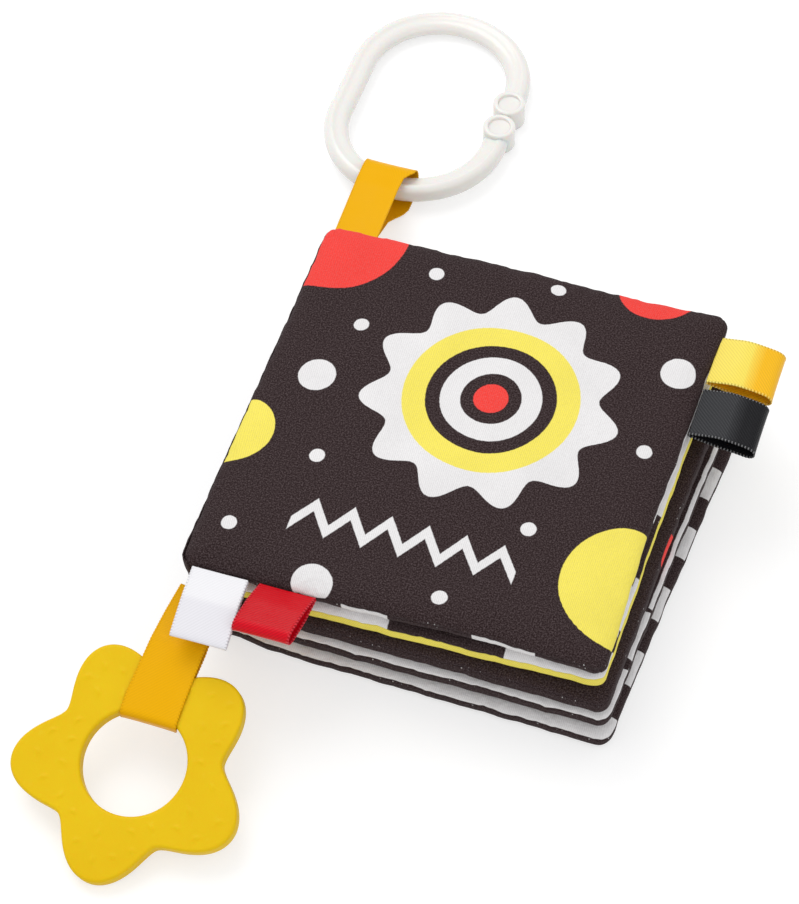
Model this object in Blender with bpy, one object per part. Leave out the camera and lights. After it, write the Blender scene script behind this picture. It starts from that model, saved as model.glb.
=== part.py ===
"""Soft cloth contrast book for a baby, closed and lying on its back cover.

Five padded cloth leaves are sewn to one spine strip. Four ribbon tags are sewn in
the front cover's seams. A ribbon at each end of the spine holds a split plastic
link ring and a flower-shaped silicone teether.

Metres, +Z up. The origin is the centre of the back cover's underside. +X points
to the edge where the leaves open, and +Y along the spine, towards the link ring.
"""

import math

import bmesh
import bpy
from mathutils import Matrix, Vector

MM = 0.001

# Clearances
TOUCH_GAP = 0.3 * MM
FLOOR_GAP = 0.05 * MM
LOOP_FLOOR_GAP = 0.1 * MM
WADDING_EASE = 0.4 * MM
FOLD_EASE = 0.05 * MM

# Book block
PAGE_WIDTH = 147.0 * MM
PAGE_HEIGHT = 150.0 * MM
PAGE_CORNER_RADIUS = 5.0 * MM
LEAF_COUNT = 5
LEAF_THICKNESS = 9.1 * MM
LEAF_PITCH = 9.4 * MM
LEAF_FAN_ANGLE = math.radians(0.4)
LEAF_SHEAR = 1.35 * MM
EDGE_SPREAD = 0.75 * MM
EDGE_SPREAD_PER_HEIGHT = 0.0175

# Cushion form of one leaf
CLOTH_THICKNESS = 0.5 * MM
EDGE_ROLL_WIDTH = 16.0 * MM
LOWER_ROLL_WIDTH = 9.0 * MM
SEAM_MARGIN = 1.6 * MM
SIDE_DRAW_IN = 0.8 * MM
MIN_INSET_RADIUS = 1.5 * MM
ROLL_POWER = 2.2
ROLL_STEP_SHARES = (0.0, 0.1, 0.38, 1.0)
CORNER_STEPS = 4
SIDE_POINT_SHARES = (-0.4, 0.4)

# Front cover
COVER_CROWN_HEIGHT = 0.6 * MM
COVER_CROWN_INSET = 44.0 * MM
FILM_THICKNESS = 0.2 * MM
FILM_INSET = 19.0 * MM

# Spine strip
SPINE_CLOTH_THICKNESS = 0.6 * MM
SPINE_BULGE = 0.5 * MM
SPINE_STEPS_PER_LEAF = 6

# Ribbon
RIBBON_WIDTH = 20.0 * MM
RIBBON_THICKNESS = 0.5 * MM
RIBBON_STRAND_SPACING = 1.0 * MM
RIBBON_ARC_STEPS = 8
SEWN_HINGE_OFFSET = 0.9 * MM
TAG_SHOULDER_SHARE = 0.42

# Tags in the right-hand edge, measured down from the page's top edge
YELLOW_TAG_FROM_TOP = 19.0 * MM
BLACK_TAG_FROM_TOP = 42.0 * MM
SIDE_TAG_LENGTH = 23.5 * MM
SIDE_TAG_OPENING = 5.2 * MM
SIDE_TAG_DROOP = 1.8 * MM

# Tags in the bottom edge, measured from the spine edge
WHITE_TAG_X = 15.0 * MM
WHITE_TAG_LENGTH = 26.0 * MM
WHITE_TAG_OPENING = 1.3 * MM
WHITE_TAG_DROOP = 3.4 * MM
RED_TAG_X = 38.8 * MM
RED_TAG_LENGTH = 19.0 * MM
RED_TAG_OPENING = 5.4 * MM
RED_TAG_SKEW = -3.0 * MM

# Ribbons at the spine's two ends, in from the spine edge and above the middle fold
END_RIBBON_LIFT = 0.45 * MM
HANGER_FROM_SPINE = 3.0 * MM
TEETHER_FROM_SPINE = 0.8 * MM
END_RIBBON_BEND_RADIUS = 20.0 * MM

# Link ring
LINK_WIDTH = 71.5 * MM
LINK_LENGTH = 98.5 * MM
LINK_BAND_WIDTH = 9.5 * MM
LINK_BAND_HEIGHT = 8.0 * MM
LINK_SECTION_POWER = 2.5
LINK_SECTION_POINTS = 12
LINK_ARC_STEPS = 22
SOCKET_RADIUS = 6.2 * MM
SOCKET_HEIGHT = 10.0 * MM
SOCKET_SPLIT = 0.4 * MM
SOCKET_HOLE_RADIUS = 4.2 * MM
SOCKET_HOLE_DEPTH = 1.2 * MM
SOCKET_SIDES = 28
LINK_PAST_SPINE = 1.0 * MM
LINK_LOOP_PAST_SPINE = 2.5 * MM
LINK_LOOP_REACH = 53.4 * MM
LINK_LOOP_RADIUS = 6.6 * MM
LINK_EDGE_TO_AXIS = 6.1 * MM

# Flower teether
TEETHER_LOBES = 5
TEETHER_LOBE_RADIUS = 41.2 * MM
TEETHER_VALLEY_RADIUS = 29.4 * MM
TEETHER_LOBE_POWER = 0.85
TEETHER_HOLE_RADIUS = 17.8 * MM
TEETHER_THICKNESS = 6.4 * MM
TEETHER_EDGE_RADIUS = 1.2 * MM
TEETHER_STEPS = 80
TEETHER_TILT = math.radians(17.0)
TEETHER_TURN = math.radians(51.0)
TEETHER_REACH = 61.8 * MM
TEETHER_RIBBON_CLEARANCE = 0.9 * MM
TEETHER_RIBBON_REACH = 42.0 * MM
TEETHER_FOLD_RADIUS = 2.0 * MM
TEETHER_GATHER_REACH = 52.0 * MM
TEETHER_GATHER_BEND_RADIUS = 10.0 * MM

# Colours: linear red, green and blue
BLACK_CLOTH = (0.045, 0.034, 0.036)
WHITE_CLOTH = (0.82, 0.82, 0.81)
YELLOW_CLOTH = (0.95, 0.80, 0.12)
WADDING_WHITE = (0.90, 0.90, 0.88)
FILM_CLEAR = (0.85, 0.88, 0.90)
AMBER_RIBBON = (0.87, 0.44, 0.01)
YELLOW_RIBBON = (0.95, 0.55, 0.04)
BLACK_RIBBON = (0.02, 0.02, 0.022)
WHITE_RIBBON = (0.85, 0.85, 0.86)
RED_RIBBON = (0.75, 0.01, 0.03)
LINK_WHITE = (0.88, 0.88, 0.86)
TEETHER_YELLOW = (0.82, 0.56, 0.015)

SEAM_HEIGHT = LEAF_THICKNESS / 2
HALF_HEIGHT = PAGE_HEIGHT / 2
SPINE_X = -PAGE_WIDTH / 2
TOP_LEAF = LEAF_COUNT - 1
MIDDLE_FOLD = LEAF_COUNT / 2
END_RIBBON_HEIGHT = SEAM_HEIGHT + LEAF_PITCH * MIDDLE_FOLD + END_RIBBON_LIFT
HANGER_X = SPINE_X + HANGER_FROM_SPINE
LINK_X = SPINE_X - LINK_PAST_SPINE
LINK_LOOP_X = SPINE_X - LINK_LOOP_PAST_SPINE
LINK_LOOP_Y = HALF_HEIGHT + LINK_LOOP_REACH
TEETHER_X = SPINE_X + TEETHER_FROM_SPINE
TEETHER_Y = -HALF_HEIGHT - TEETHER_REACH


def clear_scene():
    """Remove every object of the open scene."""
    for item in list(bpy.data.objects):
        bpy.data.objects.remove(item, do_unlink=True)


def make_material(name, colour, roughness, metallic=0.0):
    """Return a Principled material."""
    material = bpy.data.materials.new(name)
    material.use_nodes = True
    shader = material.node_tree.nodes["Principled BSDF"]
    shader.inputs["Base Color"].default_value = (*colour, 1.0)
    shader.inputs["Roughness"].default_value = roughness
    shader.inputs["Metallic"].default_value = metallic
    return material


def make_hinge(name, place, parent=None):
    """Return an empty on a joint's axis; place is in the world."""
    hinge = bpy.data.objects.new(name, None)
    bpy.context.collection.objects.link(hinge)
    hinge.parent = parent
    origin = parent.matrix_world.translation if parent else Vector()
    hinge.location = Vector(place) - origin
    bpy.context.view_layer.update()
    return hinge


def add_object(name, mesh, material, parent=None, matrix=None):
    """Link a mesh, whose points are in the world once matrix is applied, under its hinge."""
    mesh.materials.append(material)
    mesh.shade_smooth()
    mesh.set_sharp_from_angle(angle=math.radians(40.0))
    item = bpy.data.objects.new(name, mesh)
    bpy.context.collection.objects.link(item)
    world = matrix if matrix else Matrix.Identity(4)
    if parent:
        hinge_place = Matrix.Translation(parent.matrix_world.translation)
        mesh.transform(hinge_place.inverted() @ world)
        item.parent = parent
    else:
        mesh.transform(world)
    bpy.context.view_layer.update()
    return item


def loft(name, rings, closed=False):
    """Return a mesh that joins rings of equal count, capped at both ends unless closed."""
    count = len(rings[0])
    work = bmesh.new()
    rows = [[work.verts.new(point) for point in ring] for ring in rings]
    pairs = list(zip(rows, rows[1:]))
    if closed:
        pairs.append((rows[-1], rows[0]))
    for low, high in pairs:
        for index in range(count):
            after = (index + 1) % count
            work.faces.new((low[index], low[after], high[after], high[index]))
    if not closed:
        work.faces.new(list(reversed(rows[0])))
        work.faces.new(rows[-1])
    bmesh.ops.recalc_face_normals(work, faces=work.faces)
    mesh = bpy.data.meshes.new(name)
    work.to_mesh(mesh)
    work.free()
    return mesh


def page_ring(inset, height):
    """Return one page outline, inset from the edge, in a frame whose X = 0 is the spine edge."""
    left = inset
    right = PAGE_WIDTH - inset
    half = HALF_HEIGHT - inset
    radius = max(PAGE_CORNER_RADIUS - inset, MIN_INSET_RADIUS)
    middle = (left + right) / 2
    reach = (right - left) / 2
    corners = (
        (right - radius, half - radius, 0.0),
        (left + radius, half - radius, 90.0),
        (left + radius, -half + radius, 180.0),
        (right - radius, -half + radius, 270.0),
    )
    points = []
    for number, (x, y, start) in enumerate(corners):
        for step in range(CORNER_STEPS + 1):
            angle = math.radians(start + 90.0 * step / CORNER_STEPS)
            points.append((x + radius * math.cos(angle), y + radius * math.sin(angle), height))
        for share in SIDE_POINT_SHARES:
            draw = SIDE_DRAW_IN * (1.0 - share * share)
            side_points = (
                (middle - share * reach, half - draw),
                (left, -share * half),
                (middle + share * reach, -half + draw),
                (right - draw, share * half),
            )
            points.append((*side_points[number], height))
    return points


def roll_height(share):
    """Return the cushion's height share at a share of the edge roll's width."""
    return (1.0 - (1.0 - share) ** ROLL_POWER) ** (1.0 / ROLL_POWER)


def cushion_rings(first_inset, base, top, side):
    """Return page outlines that climb from the seam to the cushion's flat; side is +1 or -1."""
    width = EDGE_ROLL_WIDTH if side > 0 else LOWER_ROLL_WIDTH
    rings = []
    for share in ROLL_STEP_SHARES:
        inset = first_inset + share * (width - first_inset)
        height = base + roll_height(share) * (top - base)
        rings.append(page_ring(inset, side * height))
    return rings


def cloth_mesh(name, side, crown=0.0):
    """Return the upper (+1) or lower (-1) cloth of a leaf, about the leaf's middle plane."""
    half_gap = TOUCH_GAP / 2
    half_thickness = LEAF_THICKNESS / 2
    outside = cushion_rings(0.0, half_gap, half_thickness, side)
    inside = cushion_rings(SEAM_MARGIN, half_gap, half_thickness - CLOTH_THICKNESS, side)
    if crown:
        outside.append(page_ring(COVER_CROWN_INSET, side * (half_thickness + crown)))
    return loft(name, list(reversed(outside)) + inside)


def wadding_mesh(name, room_above):
    """Return the padding of a leaf; room_above is kept free for a film under the upper cloth."""
    rim = SEAM_MARGIN + WADDING_EASE
    full = LEAF_THICKNESS / 2 - CLOTH_THICKNESS - TOUCH_GAP
    lower = cushion_rings(rim, 0.0, full, -1)
    upper = cushion_rings(rim, 0.0, full - room_above, 1)
    return loft(name, list(reversed(lower)) + upper[1:])


def film_mesh(name):
    """Return the thin film that crackles under the front cover's cloth."""
    top = LEAF_THICKNESS / 2 - CLOTH_THICKNESS - TOUCH_GAP
    return loft(name, [page_ring(FILM_INSET, top - FILM_THICKNESS), page_ring(FILM_INSET, top)])


def seam_height(leaf):
    """Return the height of a leaf's middle plane at the spine; leaf may be a half step."""
    return SEAM_HEIGHT + LEAF_PITCH * leaf


def spine_edge(leaf):
    """Return the X of a leaf's spine edge; the stack leans away from the opening edge."""
    return SPINE_X - LEAF_SHEAR * leaf


def leaf_matrix(leaf):
    """Return the transform from a leaf's own frame to the world."""
    place = Matrix.Translation((spine_edge(leaf), 0.0, seam_height(leaf)))
    return place @ Matrix.Rotation(-LEAF_FAN_ANGLE * leaf, 4, "Y")


def spread_mesh(mesh, leaf):
    """Shift a leaf's mesh sideways, more to its opening edge, so that lower leaves show."""
    below = TOP_LEAF - leaf
    for point in mesh.vertices:
        side_shift = below * (EDGE_SPREAD + EDGE_SPREAD_PER_HEIGHT * point.co.y)
        point.co.x += side_shift * point.co.x / PAGE_WIDTH
    return mesh


def make_leaf_hinges():
    """Return one empty for each leaf; each leaf above the back cover turns on the one below."""
    hinges = [None]
    for leaf in range(1, LEAF_COUNT):
        between = leaf - 0.5
        place = (spine_edge(between) - SPINE_CLOTH_THICKNESS, 0.0, seam_height(between))
        hinges.append(make_hinge(f"leaf_hinge_{leaf}", place, hinges[-1]))
    return hinges


def make_leaf(leaf, names, hinge, upper_material, lower_material, wadding_material):
    """Make the upper cloth, wadding and lower cloth of one leaf."""
    upper_name, wadding_name, lower_name = names
    matrix = leaf_matrix(leaf)
    on_top = leaf == TOP_LEAF
    crown = COVER_CROWN_HEIGHT if on_top else 0.0
    film_room = FILM_THICKNESS + TOUCH_GAP if on_top else 0.0
    pieces = (
        (upper_name, cloth_mesh(upper_name, 1, crown), upper_material),
        (wadding_name, wadding_mesh(wadding_name, film_room), wadding_material),
        (lower_name, cloth_mesh(lower_name, -1), lower_material),
    )
    for name, mesh, material in pieces:
        add_object(name, spread_mesh(mesh, leaf), material, hinge, matrix)


def make_leaves(hinges):
    """Make the five padded leaves, from the back cover up."""
    black = make_material("black_cloth", BLACK_CLOTH, 0.75)
    white = make_material("white_cloth", WHITE_CLOTH, 0.75)
    yellow = make_material("yellow_cloth", YELLOW_CLOTH, 0.75)
    wadding = make_material("wadding", WADDING_WHITE, 0.95)
    back_names = ("back_cover_inner_cloth", "back_cover_wadding", "back_cover_outer_cloth")
    make_leaf(0, back_names, hinges[0], white, black, wadding)
    faces = {1: (white, black), 2: (black, black), 3: (white, yellow)}
    for leaf, (upper, lower) in faces.items():
        prefix = f"leaf_{LEAF_COUNT - leaf}"
        names = tuple(f"{prefix}_{end}" for end in ("upper_cloth", "wadding", "lower_cloth"))
        make_leaf(leaf, names, hinges[leaf], upper, lower, wadding)
    front_names = ("front_cover_outer_cloth", "front_cover_wadding", "front_cover_inner_cloth")
    make_leaf(TOP_LEAF, front_names, hinges[TOP_LEAF], black, white, wadding)
    film = make_material("crinkle_film", FILM_CLEAR, 0.3)
    film_name = "front_cover_crinkle_film"
    add_object(film_name, film_mesh(film_name), film, hinges[TOP_LEAF], leaf_matrix(TOP_LEAF))


def make_spine_cloth():
    """Make the strip that joins the leaves; it is drawn in at each leaf's seam."""
    rings = []
    steps = SPINE_STEPS_PER_LEAF * TOP_LEAF
    half = HALF_HEIGHT
    for step in range(steps + 1):
        leaf = step / SPINE_STEPS_PER_LEAF
        bulge = SPINE_BULGE * abs(math.sin(math.pi * leaf))
        inner = spine_edge(leaf) - TOUCH_GAP - bulge
        outer = inner - SPINE_CLOTH_THICKNESS
        height = seam_height(leaf)
        rings.append([
            (inner, -half, height),
            (inner, half, height),
            (outer, half, height),
            (outer, -half, height),
        ])
    material = make_material("spine_cloth", BLACK_CLOTH, 0.75)
    add_object("spine_cloth", loft("spine_cloth", rings), material)


def rounded_path(points, radii):
    """Return a plane path through points whose inner corners are rounded by radii."""
    path = [Vector(points[0])]
    for before, corner, after, radius in zip(points, points[1:], points[2:], radii):
        back = (Vector(before) - Vector(corner)).normalized()
        ahead = (Vector(after) - Vector(corner)).normalized()
        half_angle = back.angle(ahead) / 2
        start = Vector(corner) + back * (radius / math.tan(half_angle))
        centre = Vector(corner) + (back + ahead).normalized() * (radius / math.sin(half_angle))
        spoke = start - centre
        turn = math.pi - 2 * half_angle
        if back.x * ahead.y - back.y * ahead.x > 0.0:
            turn = -turn
        for step in range(RIBBON_ARC_STEPS + 1):
            angle = turn * step / RIBBON_ARC_STEPS
            cosine, sine = math.cos(angle), math.sin(angle)
            turned = Vector((spoke.x * cosine - spoke.y * sine, spoke.x * sine + spoke.y * cosine))
            path.append(centre + turned)
    path.append(Vector(points[-1]))
    return path


def ribbon_mesh(name, path, to_world, width=RIBBON_WIDTH):
    """Return a ribbon of even thickness; to_world takes run, across and height to a point."""
    rings = []
    for index, point in enumerate(path):
        before = path[max(index - 1, 0)]
        after = path[min(index + 1, len(path) - 1)]
        along = (after - before).normalized()
        normal = Vector((-along.y, along.x)) * (RIBBON_THICKNESS / 2)
        high = point + normal
        low = point - normal
        rings.append([
            to_world(high.x, -width / 2, high.y),
            to_world(high.x, width / 2, high.y),
            to_world(low.x, width / 2, low.y),
            to_world(low.x, -width / 2, low.y),
        ])
    return loft(name, rings)


def tag_path(length, opening, droop=0.0):
    """Return a folded tag's path: out from the seam, round its fold and back."""
    half_base = RIBBON_STRAND_SPACING / 2
    half_open = opening / 2
    shoulder = length * TAG_SHOULDER_SHARE
    shoulder_drop = droop * TAG_SHOULDER_SHARE ** 2
    points = [
        (TOUCH_GAP, half_base),
        (shoulder, half_open - shoulder_drop),
        (length, half_open - droop),
        (length, -half_open - droop),
        (shoulder, -half_open - shoulder_drop),
        (TOUCH_GAP, -half_base),
    ]
    fold = half_open - FOLD_EASE
    radii = (shoulder, fold, fold, shoulder)
    return rounded_path(points, radii)


def make_side_tag(name, place, material, hinges):
    """Make a tag in the front cover's right-hand seam."""
    cover = leaf_matrix(TOP_LEAF)
    seam_x = PAGE_WIDTH

    def to_world(run, across, height):
        return (seam_x + run, place + across, height)

    seam = cover @ Vector((seam_x + TOUCH_GAP + SEWN_HINGE_OFFSET, place, 0.0))
    hinge = make_hinge(f"{name}_hinge", seam, hinges[TOP_LEAF])
    path = tag_path(SIDE_TAG_LENGTH, SIDE_TAG_OPENING, SIDE_TAG_DROOP)
    add_object(name, ribbon_mesh(name, path, to_world), material, hinge, cover)


def make_bottom_tag(name, place, path, skew_per_length, material, hinges):
    """Make a tag in the front cover's bottom seam."""
    cover = leaf_matrix(TOP_LEAF)

    def to_world(run, across, height):
        return (place + across + skew_per_length * run, -HALF_HEIGHT - run, height)

    seam = cover @ Vector((place, -HALF_HEIGHT - TOUCH_GAP - SEWN_HINGE_OFFSET, 0.0))
    hinge = make_hinge(f"{name}_hinge", seam, hinges[TOP_LEAF])
    add_object(name, ribbon_mesh(name, path, to_world), material, hinge, cover)


def make_tags(hinges):
    """Make the four ribbon tags."""
    yellow = make_material("yellow_ribbon", YELLOW_RIBBON, 0.35)
    black = make_material("black_ribbon", BLACK_RIBBON, 0.35)
    white = make_material("white_ribbon", WHITE_RIBBON, 0.35)
    red = make_material("red_ribbon", RED_RIBBON, 0.35)
    make_side_tag("yellow_tag", HALF_HEIGHT - YELLOW_TAG_FROM_TOP, yellow, hinges)
    make_side_tag("black_tag", HALF_HEIGHT - BLACK_TAG_FROM_TOP, black, hinges)
    white_path = tag_path(WHITE_TAG_LENGTH, WHITE_TAG_OPENING, WHITE_TAG_DROOP)
    make_bottom_tag("white_tag", WHITE_TAG_X, white_path, 0.0, white, hinges)
    red_path = tag_path(RED_TAG_LENGTH, RED_TAG_OPENING)
    red_skew = RED_TAG_SKEW / RED_TAG_LENGTH
    make_bottom_tag("red_tag", RED_TAG_X, red_path, red_skew, red, hinges)


def link_section(centre, outward, up):
    """Return one rounded section of the link's band."""
    points = []
    for index in range(LINK_SECTION_POINTS):
        angle = 2 * math.pi * index / LINK_SECTION_POINTS
        cosine, sine = math.cos(angle), math.sin(angle)
        wide = math.copysign(abs(cosine) ** (2 / LINK_SECTION_POWER), cosine)
        high = math.copysign(abs(sine) ** (2 / LINK_SECTION_POWER), sine)
        across = outward * (wide * LINK_BAND_WIDTH / 2)
        points.append(centre + across + up * (high * LINK_BAND_HEIGHT / 2))
    return points


def link_rings():
    """Return the band's sections, from one socket round to the other, about the link's centre."""
    bend = (LINK_WIDTH - LINK_BAND_WIDTH) / 2
    straight = (LINK_LENGTH - LINK_WIDTH) / 2
    up = Vector((0.0, 0.0, 1.0))
    side = Vector((1.0, 0.0, 0.0))
    rings = [link_section(Vector((bend, SOCKET_RADIUS, 0.0)), side, up)]
    for start, centre_y in ((0.0, straight), (180.0, -straight)):
        for step in range(LINK_ARC_STEPS + 1):
            angle = math.radians(start + 180.0 * step / LINK_ARC_STEPS)
            outward = Vector((math.cos(angle), math.sin(angle), 0.0))
            centre = Vector((0.0, centre_y, 0.0)) + outward * bend
            rings.append(link_section(centre, outward, up))
    rings.append(link_section(Vector((bend, -SOCKET_RADIUS, 0.0)), side, up))
    return rings


def cylinder_mesh(name, radius, low, high, x, y):
    """Return an upright cylinder."""
    rings = []
    for height in (low, high):
        ring = []
        for index in range(SOCKET_SIDES):
            angle = 2 * math.pi * index / SOCKET_SIDES
            ring.append((x + radius * math.cos(angle), y + radius * math.sin(angle), height))
        rings.append(ring)
    return loft(name, rings)


def add_boolean(target, mesh, operation, matrix, parent):
    """Join a helper solid to the target, or cut it out, by a modifier."""
    helper = add_object(f"{mesh.name}_guide", mesh, target.data.materials[0], parent, matrix)
    helper.hide_render = True
    helper.display_type = "WIRE"
    modifier = target.modifiers.new(mesh.name, "BOOLEAN")
    modifier.operation = operation
    modifier.solver = "EXACT"
    modifier.object = helper


def make_link_ring(parent):
    """Make the split link ring with its two round sockets, resting in its ribbon's loop."""
    loop_height = LINK_LOOP_RADIUS + RIBBON_THICKNESS + LOOP_FLOOR_GAP
    axis_place = (LINK_LOOP_X, LINK_LOOP_Y, loop_height)
    hinge = make_hinge("link_ring_hinge", axis_place, parent)
    to_centre = LINK_LENGTH / 2 - LINK_EDGE_TO_AXIS
    far_band = LINK_LENGTH - LINK_EDGE_TO_AXIS - LINK_BAND_WIDTH / 2
    drop = loop_height - LINK_BAND_HEIGHT / 2 - FLOOR_GAP
    tilt = math.asin(drop / far_band)
    matrix = Matrix.Translation((LINK_X, LINK_LOOP_Y, loop_height))
    matrix = matrix @ Matrix.Rotation(-tilt, 4, "X") @ Matrix.Translation((0.0, to_centre, 0.0))
    material = make_material("link_plastic", LINK_WHITE, 0.25)
    ring = add_object("link_ring", loft("link_ring", link_rings()), material, hinge, matrix)
    bend = (LINK_WIDTH - LINK_BAND_WIDTH) / 2
    spacing = SOCKET_RADIUS + SOCKET_SPLIT / 2
    half = SOCKET_HEIGHT / 2
    floor = half - SOCKET_HOLE_DEPTH
    for side in (1, -1):
        barrel = cylinder_mesh(f"socket_{side}", SOCKET_RADIUS, -half, half, bend, side * spacing)
        add_boolean(ring, barrel, "UNION", matrix, hinge)
    for side in (1, -1):
        above = half + SOCKET_HOLE_DEPTH
        bore = cylinder_mesh(f"bore_{side}", SOCKET_HOLE_RADIUS, floor, above, bend, side * spacing)
        add_boolean(ring, bore, "DIFFERENCE", matrix, hinge)


def make_hanger_ribbon():
    """Make the ribbon loop at the spine's ring end and return its hinge."""
    base_y = HALF_HEIGHT + TOUCH_GAP
    hinge_y = base_y + SEWN_HINGE_OFFSET
    hinge = make_hinge("hanger_ribbon_hinge", (HANGER_X, hinge_y, END_RIBBON_HEIGHT))
    radius = LINK_LOOP_RADIUS + RIBBON_THICKNESS / 2
    loop_height = LINK_LOOP_RADIUS + RIBBON_THICKNESS + LOOP_FLOOR_GAP
    half_base = RIBBON_STRAND_SPACING / 2
    near = LINK_LOOP_Y - radius
    far = LINK_LOOP_Y + radius
    points = [
        (base_y, END_RIBBON_HEIGHT + half_base),
        (near, loop_height + radius),
        (far, loop_height + radius),
        (far, loop_height - radius),
        (near, loop_height - radius),
        (base_y, END_RIBBON_HEIGHT - half_base),
    ]
    fold = radius - FOLD_EASE
    path = rounded_path(points, (END_RIBBON_BEND_RADIUS, fold, fold, END_RIBBON_BEND_RADIUS))
    shift = (LINK_LOOP_X - HANGER_X) / (near - base_y)

    def to_world(run, across, height):
        lean = shift * (min(run, near) - base_y)
        return (HANGER_X + across + lean, run, height)

    material = make_material("amber_ribbon", AMBER_RIBBON, 0.4)
    mesh = ribbon_mesh("hanger_ribbon", path, to_world)
    add_object("hanger_ribbon", mesh, material, hinge)
    return hinge


def teether_radius(angle):
    """Return the flower outline's radius at an angle."""
    wave = (1.0 + math.cos(TEETHER_LOBES * angle)) / 2
    depth = TEETHER_LOBE_RADIUS - TEETHER_VALLEY_RADIUS
    return TEETHER_VALLEY_RADIUS + depth * wave ** TEETHER_LOBE_POWER


def teether_section(hole, rim):
    """Return radius and height pairs round the flower's band, with rounded edges."""
    half = TEETHER_THICKNESS / 2
    round_off = TEETHER_EDGE_RADIUS
    slope = round_off * (1.0 - math.cos(math.radians(45.0)))
    upper = [
        (hole, half - round_off),
        (hole + slope, half - slope),
        (hole + round_off, half),
        (rim - round_off, half),
        (rim - slope, half - slope),
        (rim, half - round_off),
    ]
    return upper + [(radius, -height) for radius, height in reversed(upper)]


def teether_height():
    """Return the height of the flower's centre when its lowest lobe touches the floor."""
    flat_reach = TEETHER_LOBE_RADIUS - TEETHER_EDGE_RADIUS
    rise = flat_reach * math.sin(TEETHER_TILT) + TEETHER_THICKNESS / 2 * math.cos(TEETHER_TILT)
    return rise + FLOOR_GAP


def make_teether(parent):
    """Make the flower teether, leaning on the floor with its ribbon side raised."""
    centre = (TEETHER_X, TEETHER_Y, teether_height())
    hinge = make_hinge("flower_teether_hinge", centre, parent)
    rings = []
    for step in range(TEETHER_STEPS):
        angle = 2 * math.pi * step / TEETHER_STEPS
        section = teether_section(TEETHER_HOLE_RADIUS, teether_radius(angle))
        rings.append([
            (radius * math.cos(angle), radius * math.sin(angle), height)
            for radius, height in section
        ])
    matrix = Matrix.Translation(centre) @ Matrix.Rotation(TEETHER_TILT, 4, "X")
    matrix = matrix @ Matrix.Rotation(TEETHER_TURN, 4, "Z")
    material = make_material("teether_silicone", TEETHER_YELLOW, 0.55)
    mesh = loft("flower_teether", rings, closed=True)
    add_object("flower_teether", mesh, material, hinge, matrix)


def make_teether_ribbon():
    """Make the ribbon loop at the spine's other end and return its hinge."""
    base_y = HALF_HEIGHT + TOUCH_GAP
    hinge_y = -base_y - SEWN_HINGE_OFFSET
    hinge = make_hinge("teether_ribbon_hinge", (TEETHER_X, hinge_y, END_RIBBON_HEIGHT))
    half_ribbon = RIBBON_WIDTH / 2
    chord = math.sqrt(TEETHER_HOLE_RADIUS ** 2 - half_ribbon ** 2)
    fold_run = chord - TOUCH_GAP - RIBBON_THICKNESS / 2
    level = TEETHER_THICKNESS / 2 + TEETHER_RIBBON_CLEARANCE
    sine, cosine = math.sin(TEETHER_TILT), math.cos(TEETHER_TILT)
    centre_run = -TEETHER_Y

    def on_teether(reach, height):
        run = centre_run - reach * cosine + height * sine
        return (run, teether_height() + reach * sine + height * cosine)

    half_base = RIBBON_STRAND_SPACING / 2
    points = [
        (base_y, END_RIBBON_HEIGHT + half_base),
        on_teether(TEETHER_GATHER_REACH, half_base),
        on_teether(TEETHER_RIBBON_REACH, level),
        on_teether(fold_run, level),
        on_teether(fold_run, -level),
        on_teether(TEETHER_RIBBON_REACH, -level),
        on_teether(TEETHER_GATHER_REACH, -half_base),
        (base_y, END_RIBBON_HEIGHT - half_base),
    ]
    bend, fold = TEETHER_GATHER_BEND_RADIUS, TEETHER_FOLD_RADIUS
    path = rounded_path(points, (bend, bend, fold, fold, bend, bend))

    def to_world(run, across, height):
        return (TEETHER_X + across, -run, height)

    material = make_material("amber_ribbon_lower", AMBER_RIBBON, 0.4)
    mesh = ribbon_mesh("teether_ribbon", path, to_world)
    add_object("teether_ribbon", mesh, material, hinge)
    return hinge


def main():
    """Build the book."""
    clear_scene()
    hinges = make_leaf_hinges()
    make_leaves(hinges)
    make_spine_cloth()
    make_tags(hinges)
    make_link_ring(make_hanger_ribbon())
    make_teether(make_teether_ribbon())


main()
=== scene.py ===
"""Looks of the cloth contrast book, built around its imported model.

Metres, +Z up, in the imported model's frame: +X points to the edge where the leaves
open and +Y along the spine to the link ring. Leaf 0 is the back cover, leaf 4 the
front cover. Prints are laid out in millimetres: x from the spine edge, y from the
page's middle line.
"""

import math

import bmesh
import bpy
import numpy as np
from mathutils import Matrix, Vector


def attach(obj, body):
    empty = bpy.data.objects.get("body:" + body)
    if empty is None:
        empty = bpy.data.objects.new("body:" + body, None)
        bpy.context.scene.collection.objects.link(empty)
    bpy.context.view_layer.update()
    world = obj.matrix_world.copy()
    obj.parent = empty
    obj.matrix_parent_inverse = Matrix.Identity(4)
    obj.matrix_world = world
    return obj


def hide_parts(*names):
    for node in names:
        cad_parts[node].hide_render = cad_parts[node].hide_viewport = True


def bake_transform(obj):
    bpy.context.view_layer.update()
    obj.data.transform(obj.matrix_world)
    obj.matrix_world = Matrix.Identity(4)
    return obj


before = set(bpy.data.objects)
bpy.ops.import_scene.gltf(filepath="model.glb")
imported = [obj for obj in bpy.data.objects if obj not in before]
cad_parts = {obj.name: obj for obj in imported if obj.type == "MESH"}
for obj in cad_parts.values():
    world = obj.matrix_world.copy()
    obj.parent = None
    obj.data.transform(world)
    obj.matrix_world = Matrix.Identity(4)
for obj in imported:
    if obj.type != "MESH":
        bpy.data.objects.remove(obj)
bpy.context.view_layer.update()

MM = 0.001
TO_MM = 1000.0

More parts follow.
